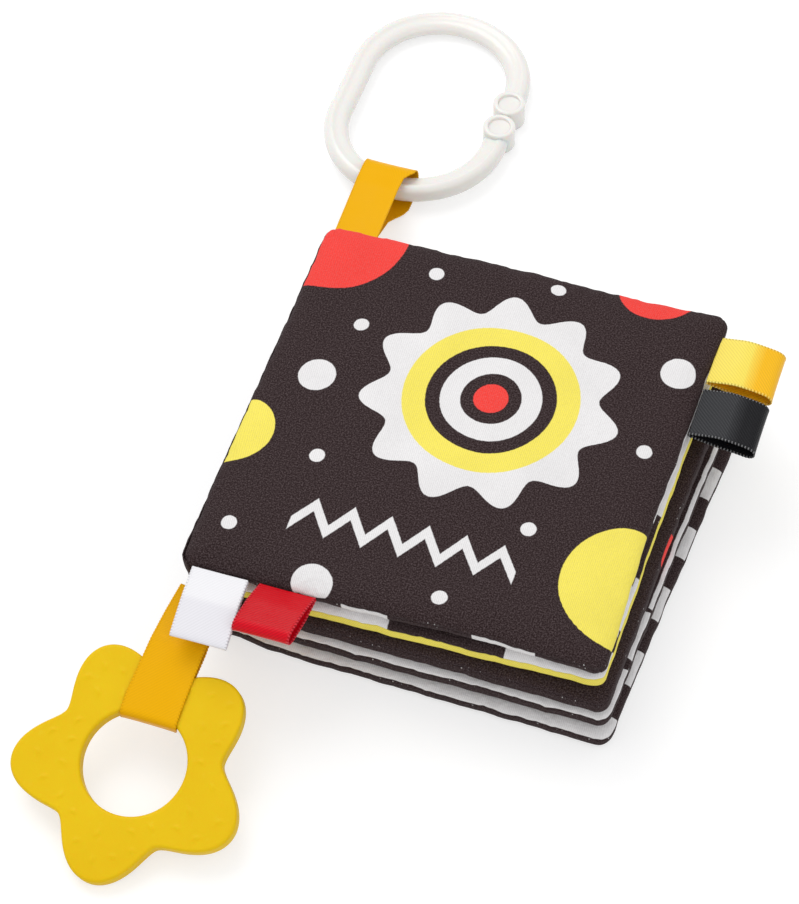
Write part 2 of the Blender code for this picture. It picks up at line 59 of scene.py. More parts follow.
# Book block
PAGE_WIDTH = 147.0 * MM
PAGE_HEIGHT = 150.0 * MM
CORNER_RADIUS = 5.0 * MM
LEAF_COUNT = 5
LEAF_THICKNESS = 9.1 * MM
LEAF_PITCH = 9.4 * MM
LEAF_FAN_ANGLE = math.radians(0.4)
LEAF_SHEAR = 1.35 * MM
EDGE_SPREAD = 0.75 * MM
EDGE_SPREAD_PER_HEIGHT = 0.0175
HALF_WIDTH = PAGE_WIDTH / 2
HALF_HEIGHT = PAGE_HEIGHT / 2
SEAM_HEIGHT = LEAF_THICKNESS / 2
SPINE_X = -PAGE_WIDTH / 2
TOP_LEAF = LEAF_COUNT - 1
TOUCH_GAP = 0.3 * MM

# Cushion form of one leaf
EDGE_ROLL_WIDTH = 15.0 * MM
LOWER_ROLL_WIDTH = 5.0 * MM
ROLL_POWER = 2.2
LOWER_ROLL_POWER = 3.0
SEAM_RISES_MM = (1.7, 1.8, 1.5, 0.9, 0.0)
OPENING_SIDE_RISES_MM = (-0.5, 0.5, 0.8, 1.1, 0.0)
OPENING_SIDE_MIDDLE = 0.125
OPENING_SIDE_REACH = 0.09
ROLL_WAVE_SHARE = 0.16
SEAM_HALF_GAP = 0.12 * MM
CLOTH_THICKNESS = 0.4 * MM
WADDING_ROOM = 0.75 * MM
WADDING_INSET = 2.2 * MM
SIDE_DRAW_IN = 0.5 * MM
SIDE_DRAW_REACH = 20.0 * MM
COVER_DRAW_IN = 1.3 * MM
COVER_FRONT_DRAW = (108.0 * MM, 30.0 * MM)
COVER_FAR_DRAW = (114.0 * MM, 24.0 * MM)
COVER_OPEN_DRAW = (-24.0 * MM, 26.0 * MM)
COVER_FLARE = 1.7 * MM
COVER_FLARE_Y = 68.0 * MM
COVER_FLARE_REACH = 10.0 * MM
FRONT_SHIFTS_MM = (2.3, 1.6, 1.2, 0.1, 0.0)
RIGHT_SHIFTS_MM = (0.0, -0.9, 0.0, -2.0, 0.0)
RIGHT_SHIFT_START = 70.0 * MM
FRONT_SHIFT_REACH = 14.0 * MM
LOOP_ROOM = 13.0 * MM
OPEN_SHIFTS_MM = (0.0, 0.0, 0.0, 1.7, 0.0)
BELLIES_MM = (0.35, 0.45, 0.9, 0.65, 0.0)
BELLY_INSET = 1.0 * MM
BELLY_REACH = 3.0 * MM
SEAM_WAVE = 0.36 * MM
SEAM_RIPPLE = 0.32 * MM
EDGE_SCALLOP = 0.35 * MM
EDGE_RIPPLE = 0.16 * MM
EDGE_SCALLOP_REACH = 5.0 * MM
PUCKER_HEIGHT = 0.3 * MM
PUCKER_REACH = 3.4 * MM
PUCKER_STRENGTH_SHARES = (0.6, 0.4)
UNDULATION = 0.16 * MM
UNDULATION_LENGTH = 38.0 * MM
INNER_LIMIT = 4.6 * MM
COVER_CROWN = 0.7 * MM
COVER_CROWN_START = 14.0 * MM
COVER_CROWN_WIDTH = 30.0 * MM
COVER_UNDULATION = 0.3 * MM
CORNER_DROOP = 2.4 * MM
CORNER_DROOP_REACH = 13.0 * MM
FILM_INSET = 19.0 * MM
FILM_HEIGHT = 3.5 * MM
FILM_CRINKLE = 0.08 * MM
FILM_CREASE_LENGTH = 9.0 * MM
FILM_CREASES = 14
FILM_THICKNESS = 0.06 * MM

# Rows of waves round a leaf's edge: how many waves each has, and the row's first seed
SEAM_WAVES = ((5, 8, 13, 21, 34), 100)
SEAM_RIPPLES = ((47, 62, 79, 96, 131, 158), 140)
ROLL_WAVES = ((4, 9, 15), 60)
PUCKER_STRENGTHS = ((3, 7, 11), 200)
PUCKERS = ((24, 33, 45, 58, 74, 91, 130), 300)
EDGE_SCALLOPS = ((9, 16, 27, 41), 500)
EDGE_RIPPLES = ((53, 68, 87), 540)
SPINE_WAVES = ((19, 33, 47), 700)
SPINE_GATHERS = ((60, 83), 720)
HILLS_SEED = 400
FILM_SEED = 900

# Grid lines of a cloth, as distances in from the seam
RIM_LINES_MM = (0.0, 0.03, 0.09, 0.2, 0.38, 0.65, 1.0, 1.5, 2.1, 3.0, 4.1, 5.4, 6.8, 8.3, 9.9,
                11.6, 13.3, 15.1)
REACH_STEPS = 600
STITCH_OFFSET = 137.0
FINE_STEP = 1.7 * MM
COARSE_STEP = 4.0 * MM

# Spine
SPINE_THICKNESS = 0.5 * MM
SPINE_BULGE = 0.5 * MM
SPINE_WAVE = 0.15 * MM
SPINE_GATHER = 0.1 * MM
SPINE_TUCK_SHARE = 0.96
SPINE_FROM_SEAM_MM = 9.0
SPINE_STEPS = 14
SPINE_ROW = 1.6 * MM

# Ribbon
RIBBON_WIDTH = 20.0 * MM
RIBBON_THICKNESS = 0.5 * MM
RIBBON_STRAND_SPACING = 1.0 * MM
RIBBON_ARC_STEPS = 8
RIBBON_ROW = 0.3 * MM
RIBBON_FEWEST_ROWS = 8
RIBBON_ACROSS = (-1.0, -0.975, -0.93, -0.86, -0.6, -0.3, 0.0, 0.3, 0.6, 0.86, 0.93, 0.975, 1.0)
SATIN_SHARE = 0.8
CORD_SHARES = {0.93: 1.0, 0.975: 1.0, 1.0: 0.25}
CUP_LEVEL_SHARE = 0.4
PICOT_PITCH = 1.15 * MM
PICOT_DEPTH = 0.22 * MM
FOLD_EASE = 0.05 * MM
TAG_SHOULDER_SHARE = 0.42
YELLOW_TAG_Y = HALF_HEIGHT - 19.0 * MM
BLACK_TAG_Y = HALF_HEIGHT - 42.0 * MM
SIDE_TAG_LENGTH = 23.5 * MM
SIDE_TAG_OPENING = 5.2 * MM
SIDE_TAG_DROOP = 1.8 * MM
SIDE_TAG_BOW = 1.2 * MM
TAG_SOFTNESS = 1.3 * MM
TAG_CUP = 0.1 * MM
WHITE_TAG_X = 15.0 * MM
WHITE_TAG_LENGTH = 26.0 * MM
WHITE_TAG_OPENING = 1.3 * MM
WHITE_TAG_DROOP = 3.4 * MM
WHITE_TAG_SKEW = 1.3 * MM
RED_TAG_X = 38.8 * MM
RED_TAG_LENGTH = 19.0 * MM
RED_TAG_OPENING = 5.4 * MM
RED_TAG_SKEW = -3.0 * MM
END_RIBBON_HEIGHT = SEAM_HEIGHT + LEAF_PITCH * LEAF_COUNT / 2 + 0.45 * MM
END_RIBBON_BASE = HALF_HEIGHT + TOUCH_GAP
END_RIBBON_BEND = 20.0 * MM
END_RIBBON_CUP = 0.15 * MM
HANGER_X = SPINE_X + 3.0 * MM
HANGER_SOFTNESS = 1.0 * MM
HANGER_GATHER_SHARES = ((0.0, 0.1, 0.33, 0.39, 0.42, 0.6, 0.62, 0.66, 0.7, 1.0),
                        (0.35, 0.62, 0.68, 0.72, 1.0, 1.0, 0.92, 0.68, 0.5, 0.35))

# Link ring
LINK_WIDTH = 71.5 * MM
LINK_LENGTH = 98.5 * MM
LINK_BAND_WIDTH = 9.5 * MM
LINK_BAND_HEIGHT = 8.0 * MM
LINK_POWER = 2.5
LINK_SECTION_POINTS = 56
LINK_ARC_STEPS = 90
LINK_STEP_DEPTH = 0.8 * MM
LINK_STEP_SHARE = 0.18
LINK_STEP_STEEPNESS = 26.0
LINK_STEP_FADE = 1.6
LINK_SHARP_ANGLE = math.radians(38.0)
SOCKET_RADIUS = 6.2 * MM
SOCKET_HEIGHT = 10.0 * MM
SOCKET_SPLIT = 0.4 * MM
SOCKET_HOLE_RADIUS = 4.2 * MM
SOCKET_HOLE_DEPTH = 1.2 * MM
SOCKET_ROUND = 0.9 * MM
SOCKET_LIP = 0.6 * SOCKET_ROUND
SOCKET_COVE = SOCKET_ROUND / 3
SOCKET_SIDES = 72
LINK_X = SPINE_X - 1.0 * MM
LINK_LOOP_X = SPINE_X - 2.5 * MM
LINK_LOOP_Y = HALF_HEIGHT + 53.4 * MM
LINK_LOOP_RADIUS = 6.6 * MM
LINK_LOOP_HEIGHT = LINK_LOOP_RADIUS + RIBBON_THICKNESS + 0.1 * MM
LINK_EDGE_TO_AXIS = 6.1 * MM
FLOOR_GAP = 0.05 * MM

# Flower teether
TEETHER_LOBES = 5
TEETHER_LOBE_RADIUS = 41.2 * MM
TEETHER_VALLEY_RADIUS = 29.4 * MM
TEETHER_LOBE_POWER = 0.85
TEETHER_HOLE_RADIUS = 17.8 * MM
TEETHER_THICKNESS = 6.4 * MM
TEETHER_EDGE = 1.2 * MM
TEETHER_STEPS = 420
TEETHER_ROWS = 34
TEETHER_EDGE_STEPS = 7
TEETHER_TILT = math.radians(17.0)
TEETHER_TURN = math.radians(51.0)
TEETHER_X = SPINE_X + 0.8 * MM
TEETHER_Y = -HALF_HEIGHT - 61.8 * MM
TEETHER_RIBBON_LEVEL = TEETHER_THICKNESS / 2 + 0.65 * MM
TEETHER_RIBBON_REACH = 42.0 * MM
TEETHER_RIBBON_SOFTNESS = 0.6 * MM
TEETHER_FOLD_RADIUS = 2.0 * MM
TEETHER_GATHER_REACH = 52.0 * MM
TEETHER_GATHER_BEND = 10.0 * MM
TEETHER_GATHER_SHARES = ((0.0, 0.4, 0.6, 1.0), (0.8, 1.0, 1.0, 0.8))
TEETHER_SWAY_SHARES = (0.0, 0.2, 0.4, 0.5, 0.54, 0.66, 0.8, 0.9, 1.0)
TEETHER_SWAYS_MM = (1.4, 1.2, 0.2, 0.0, -1.2, -1.3, 0.0, 1.0, 1.4)
BUMP_SEED = 31
BUMP_TRIES = 1500
BUMP_SPACING = 6.3 * MM
BUMP_MARGIN = 4.6 * MM
BUMP_LENGTH = 1.3 * MM
BUMP_WIDTH = 0.62 * MM
BUMP_HEIGHT = 0.34 * MM

# Colours: linear red, green and blue
INKS = {
    "black": (0.019, 0.0085, 0.009),
    "white": (0.83, 0.82, 0.82),
    "yellow": (0.93, 0.80, 0.115),
    "red": (0.90, 0.052, 0.04),
}
FLECK = (0.55, 0.43, 0.44)
STITCH = (0.78, 0.77, 0.76)
LINK_WHITES = ((0.86, 0.845, 0.81), (0.84, 0.838, 0.80))
TEETHER_YELLOWS = ((0.84, 0.56, 0.002), (0.81, 0.52, 0.001))
TEETHER_DUST = (0.9, 0.72, 0.1)
WADDING_WHITES = ((0.88, 0.88, 0.86), (0.8, 0.8, 0.78))
FILM_TINTS = ((0.82, 0.85, 0.88), (0.9, 0.92, 0.94))

# Satin ribbons: colours outside, inside and at bends (the inside and bend colours are painted
# shade, and on the red a painted highlight), and on the edge thread, then roughness, specular,
# relief in millimetres, painted shade between the edge's loops and contrast of the weave
SATINS = {
    "yellow": ((0.95, 0.76, 0.11), (0.95, 0.51, 0.008), (0.95, 0.51, 0.008), (0.97, 0.86, 0.3),
               0.34, 0.28, 0.05, 0.62, 0.14),
    "black": ((0.045, 0.046, 0.050), (0.010, 0.010, 0.012), (0.010, 0.010, 0.012),
              (0.42, 0.42, 0.43), 0.36, 0.14, 0.2, 0.62, 0.55),
    "white": ((0.86, 0.855, 0.88), (0.80, 0.79, 0.83), (0.80, 0.79, 0.83), (0.9, 0.9, 0.92),
              0.34, 0.2, 0.03, 0.8, 0.05),
    "red": ((0.62, 0.002, 0.010), (0.70, 0.002, 0.014), (0.70, 0.002, 0.014), (0.84, 0.08, 0.12),
            0.3, 0.16, 0.08, 0.62, 0.24),
    "amber": ((0.87, 0.44, 0.0002), (0.80, 0.385, 0.0004), (0.87, 0.44, 0.0002),
              (0.87, 0.44, 0.0002), 0.42, 0.08, 0.05, 0.88, 0.05),
}

# Cloth and satin, in millimetres
INK_EDGE = 0.14
TWILL_PITCH = 0.74
TWILL_SLOPE = 0.62
RIB_PITCH = 0.5
SLANT_PITCH = 1.3
TWILL_WANDER = 1.2
INK_WANDER = 0.3

# Each noise's scale, detail and roughness
NOISES = {
    "ink_wander": (0.9, 1.0, 0.5),
    "yarn": (2.3, 3.0, 0.7),
    "wear": (0.045, 2.0, 0.5),
    "fleck": (1.8, 3.0, 0.8),
    "wrinkle": (0.42, 3.0, 0.55),
    "thread_speck": (0.9, 2.0, 0.7),
    "thread_patch": (0.07, 1.0, 0.5),
    "satin_fibre": (2.6, 2.0, 0.6),
    "link_cloud": (60.0, 3.0, 0.5),
    "link_grain": (900.0, 2.0, 0.5),
    "link_scuff": (240.0, 4.0, 0.7),
    "teether_cloud": (45.0, 3.0, 0.5),
    "teether_grain": (1500.0, 2.0, 0.5),
    "teether_dust": (420.0, 3.0, 0.6),
    "wadding_fibre": (700.0, 5.0, 0.75),
    "wadding_clump": (90.0, 3.0, 0.5),
    "film_crinkle": (260.0, 4.0, 0.7),
}

# What each ramp runs from and to, and the values it gives there where they aren't 0 and 1
RAMPS = {
    "ink_edge": (-INK_EDGE, INK_EDGE),
    "weave_shade": (0.25, 0.75, 0.87, 1.09),
    "wear_shade": (0.3, 0.7, 0.97, 1.03),
    "fleck": (0.45, 0.7, 0.0, 0.17),
    "thread_speck": (0.58, 0.64),
    "thread_patch": (0.5, 0.58),
    "seam_inner_side": (0.3, 0.45),
    "seam_outer_side": (1.0, 0.8),
    "cord_edge": (1.0, 0.7),
    # where the bend colour's painted shade sets in, by how steeply the ribbon falls
    "painted_bend_ramp": (0.1, 0.17),
    "cord_thread": (0.45, 0.9, 0.0, 0.5),
    "link_cloud": (0.35, 0.7),
    "link_scuff": (0.62, 0.8, 0.0, 0.2),
    "teether_cloud": (0.3, 0.7),
    "teether_dust": (0.6, 0.8, 0.0, 0.08),
    "teether_roughness": (0.3, 0.7, 0.46, 0.56),
    "wadding_clump": (0.3, 0.7),
    "film_crinkle": (0.4, 0.6),
}
SATIN_SHADE_RANGE = (0.2, 0.8)
SATIN_BRIGHT_SHARE = 0.6
CORD_GAP_RANGE = (0.5, 0.95)

# Shares in a weave's height, and how far each relief stands up
YARN_SHARE = 0.68
TWILL_SHARE = 0.32
SATIN_RIB = 0.3
SATIN_SLANT = 0.35
SATIN_FIBRE = 0.35
CORD_RISE = 2.2
WRINKLE_RELIEF = 0.5 * MM
WEAVE_RELIEF = 0.09 * MM
LINK_RELIEF = 0.02 * MM
TEETHER_RELIEF = 0.03 * MM
WADDING_RELIEF = 0.3 * MM
FILM_RELIEF = 0.15 * MM

# Roughness of each plain look, and the shader values it sets
CLOTH_LOOK = (0.7, {"Specular IOR Level": 0.12})
SATIN_ANISOTROPY = 0.5
LINK_ROUGHNESS = 0.24
LINK_LOOK = (LINK_ROUGHNESS, {
    "Coat Weight": 0.15, "Coat Roughness": 0.1,
    "Subsurface Weight": 0.25, "Subsurface Scale": 4.0 * MM,
})
TEETHER_LOOK = (0.5, {
    "Subsurface Weight": 0.1, "Subsurface Scale": 2.0 * MM, "Specular IOR Level": 0.16,
})
WADDING_LOOK = (0.95, {"Sheen Weight": 0.4})
FILM_LOOK = (0.2, {"Specular IOR Level": 0.7})

# Floor and light
FLOOR_REACH = 3.0
FLOOR_SEEN = (0.5, 0.5, 0.5)
FLOOR_BOUNCE = (0.85, 0.85, 0.85)
FLOOR_GLOW = 0.6
SKY = (0.72, 0.72, 0.725, 1.0)
WHITE = (1.0, 1.0, 1.0, 1.0)
LAMPS = (("key", (-0.6, 0.45, 1.25), 0.9, 7.5), ("fill", (0.8, -0.6, 1.1), 1.0, 2.2))

# The camera stands where the photograph was taken from
CAMERA_AZIMUTH = math.radians(20.7)
CAMERA_ELEVATION = math.radians(55.3)
CAMERA_ROLL = math.radians(-2.4)
CAMERA_DISTANCE = 1.0
CAMERA_TARGET = Vector((1.5 * MM, 0.0, 0.0))
CAMERA_SIDE = -28.0 * MM
CAMERA_RISE = 22.0 * MM
CAMERA_LENS = 113.22
CAMERA_SENSOR = 36.0
CAMERA_NEAR = 0.01


class Finish:
    """A node material, with short calls that add a node and return its socket."""

    def __init__(self, name, roughness, settings=()):
        self.material = bpy.data.materials.new(name)
        self.material.use_nodes = True
        self.tree = self.material.node_tree
        self.shader = self.tree.nodes["Principled BSDF"]
        self.shader.inputs["Roughness"].default_value = roughness
        for socket, value in dict(settings).items():
            self.shader.inputs[socket].default_value = value

    def put(self, socket, value):
        if isinstance(value, bpy.types.NodeSocket):
            self.tree.links.new(value, socket)
        else:
            socket.default_value = value

    def node(self, kind, inputs=(), **settings):
        """Add a node with its settings, and a value or a link for each of some inputs."""
        node = self.tree.nodes.new(f"ShaderNode{kind}")
        for name, value in settings.items():
            setattr(node, name, value)
        for socket, value in dict(inputs).items():
            self.put(node.inputs[socket], value)
        return node

    def math(self, operation, *values):
        return self.node("Math", enumerate(values), operation=operation).outputs[0]

    def vector(self, operation, *values):
        node = self.node("VectorMath", enumerate(values), operation=operation)
        return node.outputs["Value" if operation in ("DISTANCE", "LENGTH") else "Vector"]

    def scaled(self, colour, shade):
        inputs = {0: colour, "Scale": shade}
        return self.node("VectorMath", inputs, operation="SCALE").outputs[0]

    def mix(self, share, *colours):
        low, high = ((*c, 1.0) if isinstance(c, tuple) else c for c in colours)
        return self.node("Mix", {0: share, 6: low, 7: high}, data_type="RGBA").outputs[2]

    def noise(self, place, name):
        scale, detail, roughness = NOISES[name]
        inputs = {"Vector": place, "Scale": scale, "Detail": detail, "Roughness": roughness}
        return self.node("TexNoise", inputs).outputs[0]

    def ramp(self, value, low, high, from_value=0.0, to_value=1.0):
        ends = (value, low, high, from_value, to_value)
        return self.node("MapRange", enumerate(ends)).outputs[0]

    def named_ramp(self, value, name):
        return self.ramp(value, *RAMPS[name])

    def wave(self, place, pitch):
        """Return a sine from 0 to 1 along a coordinate in millimetres."""
        turn = self.math("MULTIPLY", place, 2.0 * math.pi / pitch)
        return self.math("MULTIPLY_ADD", self.math("SINE", turn), 0.5, 0.5)

    def uv_mm(self, name):
        """Return a UV map's x, y and vector in millimetres."""
        uv = self.node("UVMap", uv_map=name).outputs[0]
        place = self.vector("MULTIPLY", uv, (TO_MM, TO_MM, TO_MM))
        split = self.node("SeparateXYZ", {0: place})
        return split.outputs[0], split.outputs[1], place

    def object_place(self):
        return self.node("TexCoord").outputs["Object"]

    def attribute(self, name):
        return self.node("Attribute", attribute_name=name).outputs["Fac"]

    def bump(self, height, distance, **after):
        """Return a normal bumped by a height, after another normal if Normal is given."""
        inputs = {"Strength": 1.0, "Distance": distance, "Height": height, **after}
        return self.node("Bump", inputs).outputs[0]

    def finish(self, colour, normal=None, roughness=None):
        values = {"Base Color": colour, "Normal": normal, "Roughness": roughness}
        for name, value in values.items():
            if value is not None:
                self.put(self.shader.inputs[name], value)
        return self.material


class Print(Finish):
    """A printed cloth: shapes in ink over a ground colour, on a fine diagonal weave."""

    def __init__(self, name, ground, layers):
        super().__init__(name, *CLOTH_LOOK)
        self.x, self.y, self.place = self.uv_mm("page")
        wander = self.noise(self.place, "ink_wander")
        self.wander = self.math("MULTIPLY_ADD", wander, INK_WANDER, -INK_WANDER / 2)
        colour = INKS[ground]
        for ink, *shapes in layers:
            mask = None
            for kind, *values in shapes:
                part = getattr(self, kind)(*values)
                mask = part if mask is None else self.math("MULTIPLY", mask, part)
            colour = self.mix(mask, colour, INKS[ink])
        self.colour = colour

    def edge(self, inside):
        return self.named_ramp(self.math("ADD", inside, self.wander), "ink_edge")

    def disc(self, x, y, radius):
        far = self.vector("DISTANCE", self.place, (x, y, 0.0))
        return self.edge(self.math("SUBTRACT", radius, far))

    def flower(self, x, y, radius, depth, petals, turn=0.0):
        across = self.math("SUBTRACT", self.x, x)
        above = self.math("SUBTRACT", self.y, y)
        angle = self.math("ARCTAN2", above, across)
        swing = self.math("COSINE", self.math("MULTIPLY_ADD", angle, petals, turn))
        reach = self.math("MULTIPLY_ADD", swing, depth, radius)
        far = self.vector("DISTANCE", self.place, (x, y, 0.0))
        return self.edge(self.math("SUBTRACT", reach, far))

    def ellipse(self, x, y, wide, high):
        moved = self.vector("SUBTRACT", self.place, (x, y, 0.0))
        scaled = self.vector("MULTIPLY", moved, (1.0, wide / high, 0.0))
        return self.edge(self.math("SUBTRACT", wide, self.vector("LENGTH", scaled)))

    def box(self, left, right, low, high):
        across, above = (
            self.math("MINIMUM", self.math("SUBTRACT", place, start),
                      self.math("SUBTRACT", stop, place))
            for place, start, stop in ((self.x, left, right), (self.y, low, high))
        )
        return self.edge(self.math("MINIMUM", across, above))

    def stripes(self, axis, period, phase=0.0, share=0.5):
        along = self.x if axis == "x" else self.y
        turn = self.math("FRACT", self.math("MULTIPLY_ADD", along, 1.0 / period, phase))
        off = self.math("ABSOLUTE", self.math("SUBTRACT", turn, 0.5))
        inside = self.math("SUBTRACT", share / 2, off)
        return self.edge(self.math("MULTIPLY", inside, period))

    def checks(self, period, x_phase=0.0, y_phase=0.0):
        across = self.stripes("x", period, x_phase)
        above = self.stripes("y", period, y_phase)
        return self.math("ABSOLUTE", self.math("SUBTRACT", across, above))

    def zigzag(self, left, right, middle, swing, period, stroke):
        half = period / 2
        peak = self.math("PINGPONG", self.math("SUBTRACT", self.x, left), half)
        line = self.math("MULTIPLY_ADD", peak, 2.0 * swing / half, middle - swing)
        off = self.math("ABSOLUTE", self.math("SUBTRACT", self.y, line))
        slope = math.hypot(1.0, 2.0 * swing / half)
        bar = self.edge(self.math("SUBTRACT", stroke / 2, self.math("DIVIDE", off, slope)))
        span = self.box(left, right, middle - swing - stroke, middle + swing + stroke)
        return self.math("MULTIPLY", bar, span)

    def cloth(self):
        """Return the cloth with its weave, slight fading and the specks of thread at its seam."""
        slant = self.math("ADD", self.x, self.math("MULTIPLY", self.y, TWILL_SLOPE))
        slant = self.math("ADD", slant, self.math("MULTIPLY", self.wander, TWILL_WANDER))
        rib = self.wave(slant, TWILL_PITCH)
        yarn = self.math("MULTIPLY", self.noise(self.place, "yarn"), YARN_SHARE)
        weave = self.math("MULTIPLY_ADD", rib, TWILL_SHARE, yarn)
        wear = self.named_ramp(self.noise(self.place, "wear"), "wear_shade")
        shade = self.math("MULTIPLY", self.named_ramp(weave, "weave_shade"), wear)
        colour = self.scaled(self.colour, shade)
        fleck = self.named_ramp(self.noise(self.place, "fleck"), "fleck")
        colour = self.mix(self.stitch(), self.mix(fleck, colour, FLECK), STITCH)
        wrinkle = self.bump(self.noise(self.place, "wrinkle"), WRINKLE_RELIEF)
        return self.finish(colour, self.bump(weave, WEAVE_RELIEF, Normal=wrinkle))

    def stitch(self):
        """Return the mask of the pale thread that shows in places along the seam."""
        rim, run = self.attribute("seam"), self.attribute("run")
        line = self.node("CombineXYZ", {0: run}).outputs[0]
        speck, patch = (self.named_ramp(self.noise(line, name), name)
                        for name in ("thread_speck", "thread_patch"))
        inner, outer = (self.named_ramp(rim, name)
                        for name in ("seam_inner_side", "seam_outer_side"))
        near = self.math("MULTIPLY", inner, outer)
        return self.math("MULTIPLY", near, self.math("MULTIPLY", speck, patch))


def boxes(ink, *sides):
    """Return layers of boxes in one ink, by their left, right, low and high sides."""
    return [(ink, ("box", *four)) for four in sides]


def discs(x, y, *rings):
    """Return layers of discs round one middle: an ink and a radius for each."""
    return [(ink, ("disc", x, y, radius)) for ink, radius in rings]


def dots(ink, radius, *places):
    """Return layers of equal discs in one ink."""
    return [(ink, ("disc", x, y, radius)) for x, y in places]


# Each cloth's ground ink and the layers printed on it, from the lowest up
DESIGNS = {
    "back_cover_inner_cloth": ("white", [
        ("black", ("stripes", "y", 26.4, 0.768), ("box", 133.0, 160.0, -80.0, 80.0)),
        *discs(66.0, 4.0, ("black", 44.0), ("white", 37.0), ("black", 30.0), ("white", 23.0),
               ("black", 16.0), ("white", 9.0)),
        ("black", ("stripes", "x", 18.0, 0.1), ("box", 13.0, 127.0, 56.0, 68.0)),
    ]),
    "back_cover_outer_cloth": ("black", [
        ("white", ("flower", 74.0, 0.0, 33.0, 5.0, 9)),
        *discs(74.0, 0.0, ("black", 24.0), ("yellow", 17.0)),
        ("white", ("disc", 24.0, 48.0, 7.0)),
        ("red", ("disc", 122.0, -48.0, 12.0)),
        *dots("white", 4.0, (120.0, 52.0), (28.0, -50.0)),
    ]),
    "leaf_4_upper_cloth": ("white", [
        ("black", ("box", 117.0, 160.0, -70.0, 80.0)),
        ("white", ("box", 146.0, 160.0, -30.0, 80.0)),
        ("white", ("ellipse", 151.0, -64.0, 21.0, 9.6)),
        ("white", ("ellipse", 151.0, -41.0, 21.0, 9.6)),
        ("black", ("disc", 58.0, 4.0, 45.0)),
        ("white", ("flower", 58.0, 4.0, 29.0, 10.0, 6)),
        ("yellow", ("disc", 58.0, 4.0, 12.0)),
    ]),
    "leaf_4_lower_cloth": ("black", [
        ("white", ("stripes", "y", 24.0, 0.1, 0.36), ("box", 20.0, 128.0, -56.0, 50.0)),
        *discs(74.0, 2.0, ("red", 25.0), ("yellow", 12.0)),
    ]),
    "leaf_3_upper_cloth": ("black", [
        ("white", ("flower", 72.0, 0.0, 44.0, 7.0, 8)),
        ("red", ("flower", 72.0, 0.0, 31.0, 5.0, 8)),
        *discs(72.0, 0.0, ("black", 19.0), ("yellow", 11.0)),
    ]),
    "leaf_3_lower_cloth": ("black", [
        ("red", ("disc", 146.0, -10.0, 6.5)),
        ("white", ("checks", 28.0, 0.2, 0.4), ("box", 15.4, 113.4, -46.2, 51.8)),
        ("yellow", ("disc", 69.0, 0.0, 22.0)),
    ]),
    "leaf_2_upper_cloth": ("white", [
        *boxes("black", (128.0, 160.0, -63.1, -53.9), (128.0, 160.0, -32.3, -6.2),
               (128.0, 160.0, 28.0, 46.0), (128.0, 160.0, 62.0, 69.0),
               (72.0, 112.5, -80.0, -58.0)),
        ("black", ("checks", 34.0, 0.3, 0.2), ("box", 15.3, 117.3, -49.3, 52.7)),
        ("red", ("disc", 66.0, 4.0, 16.0)),
    ]),
    "leaf_2_lower_cloth": ("yellow", [
        ("black", ("disc", x, y, 9.0)) for y in (-44.0, 0.0, 44.0) for x in (30.0, 74.0, 118.0)
    ]),
    "front_cover_inner_cloth": ("white", [
        *boxes("black", (-10.0, 57.0, -80.0, -60.0), (73.0, 101.5, -80.0, -60.0),
               (123.0, 160.0, -80.0, -60.0), (137.0, 160.0, -40.0, -14.0)),
        ("black", ("stripes", "x", 22.0, 0.2), ("box", 14.0, 126.0, -44.0, 62.0)),
        *discs(70.0, 10.0, ("yellow", 27.0), ("black", 12.0)),
    ]),
    "front_cover_outer_cloth": ("black", [
        ("white", ("flower", 80.0, 15.0, 41.0, 4.2, 11, 0.4)),
        *discs(80.0, 15.0, ("yellow", 30.5), ("black", 22.5), ("white", 17.5), ("black", 10.5),
               ("red", 6.0)),
        ("red", ("disc", 6.0, 70.0, 25.0)),
        ("yellow", ("disc", 146.0, -44.0, 23.0)),
        ("yellow", ("disc", 0.0, -20.0, 13.5)),
        ("red", ("disc", 121.0, 78.0, 13.0)),
        ("white", ("zigzag", 31.0, 109.0, -47.5, 4.6, 13.0, 3.0)),
        ("white", ("disc", 19.5, 8.0, 6.6)),
        ("white", ("disc", 138.0, 44.0, 6.2)),
        ("white", ("disc", 46.0, -72.0, 7.0)),
        *dots("white", 2.7, (45.0, 62.0), (88.0, 68.0), (27.0, 33.0), (136.0, 9.0),
              (31.0, -24.0), (108.0, -32.0), (12.0, -58.0), (88.0, -66.0)),
    ]),
}


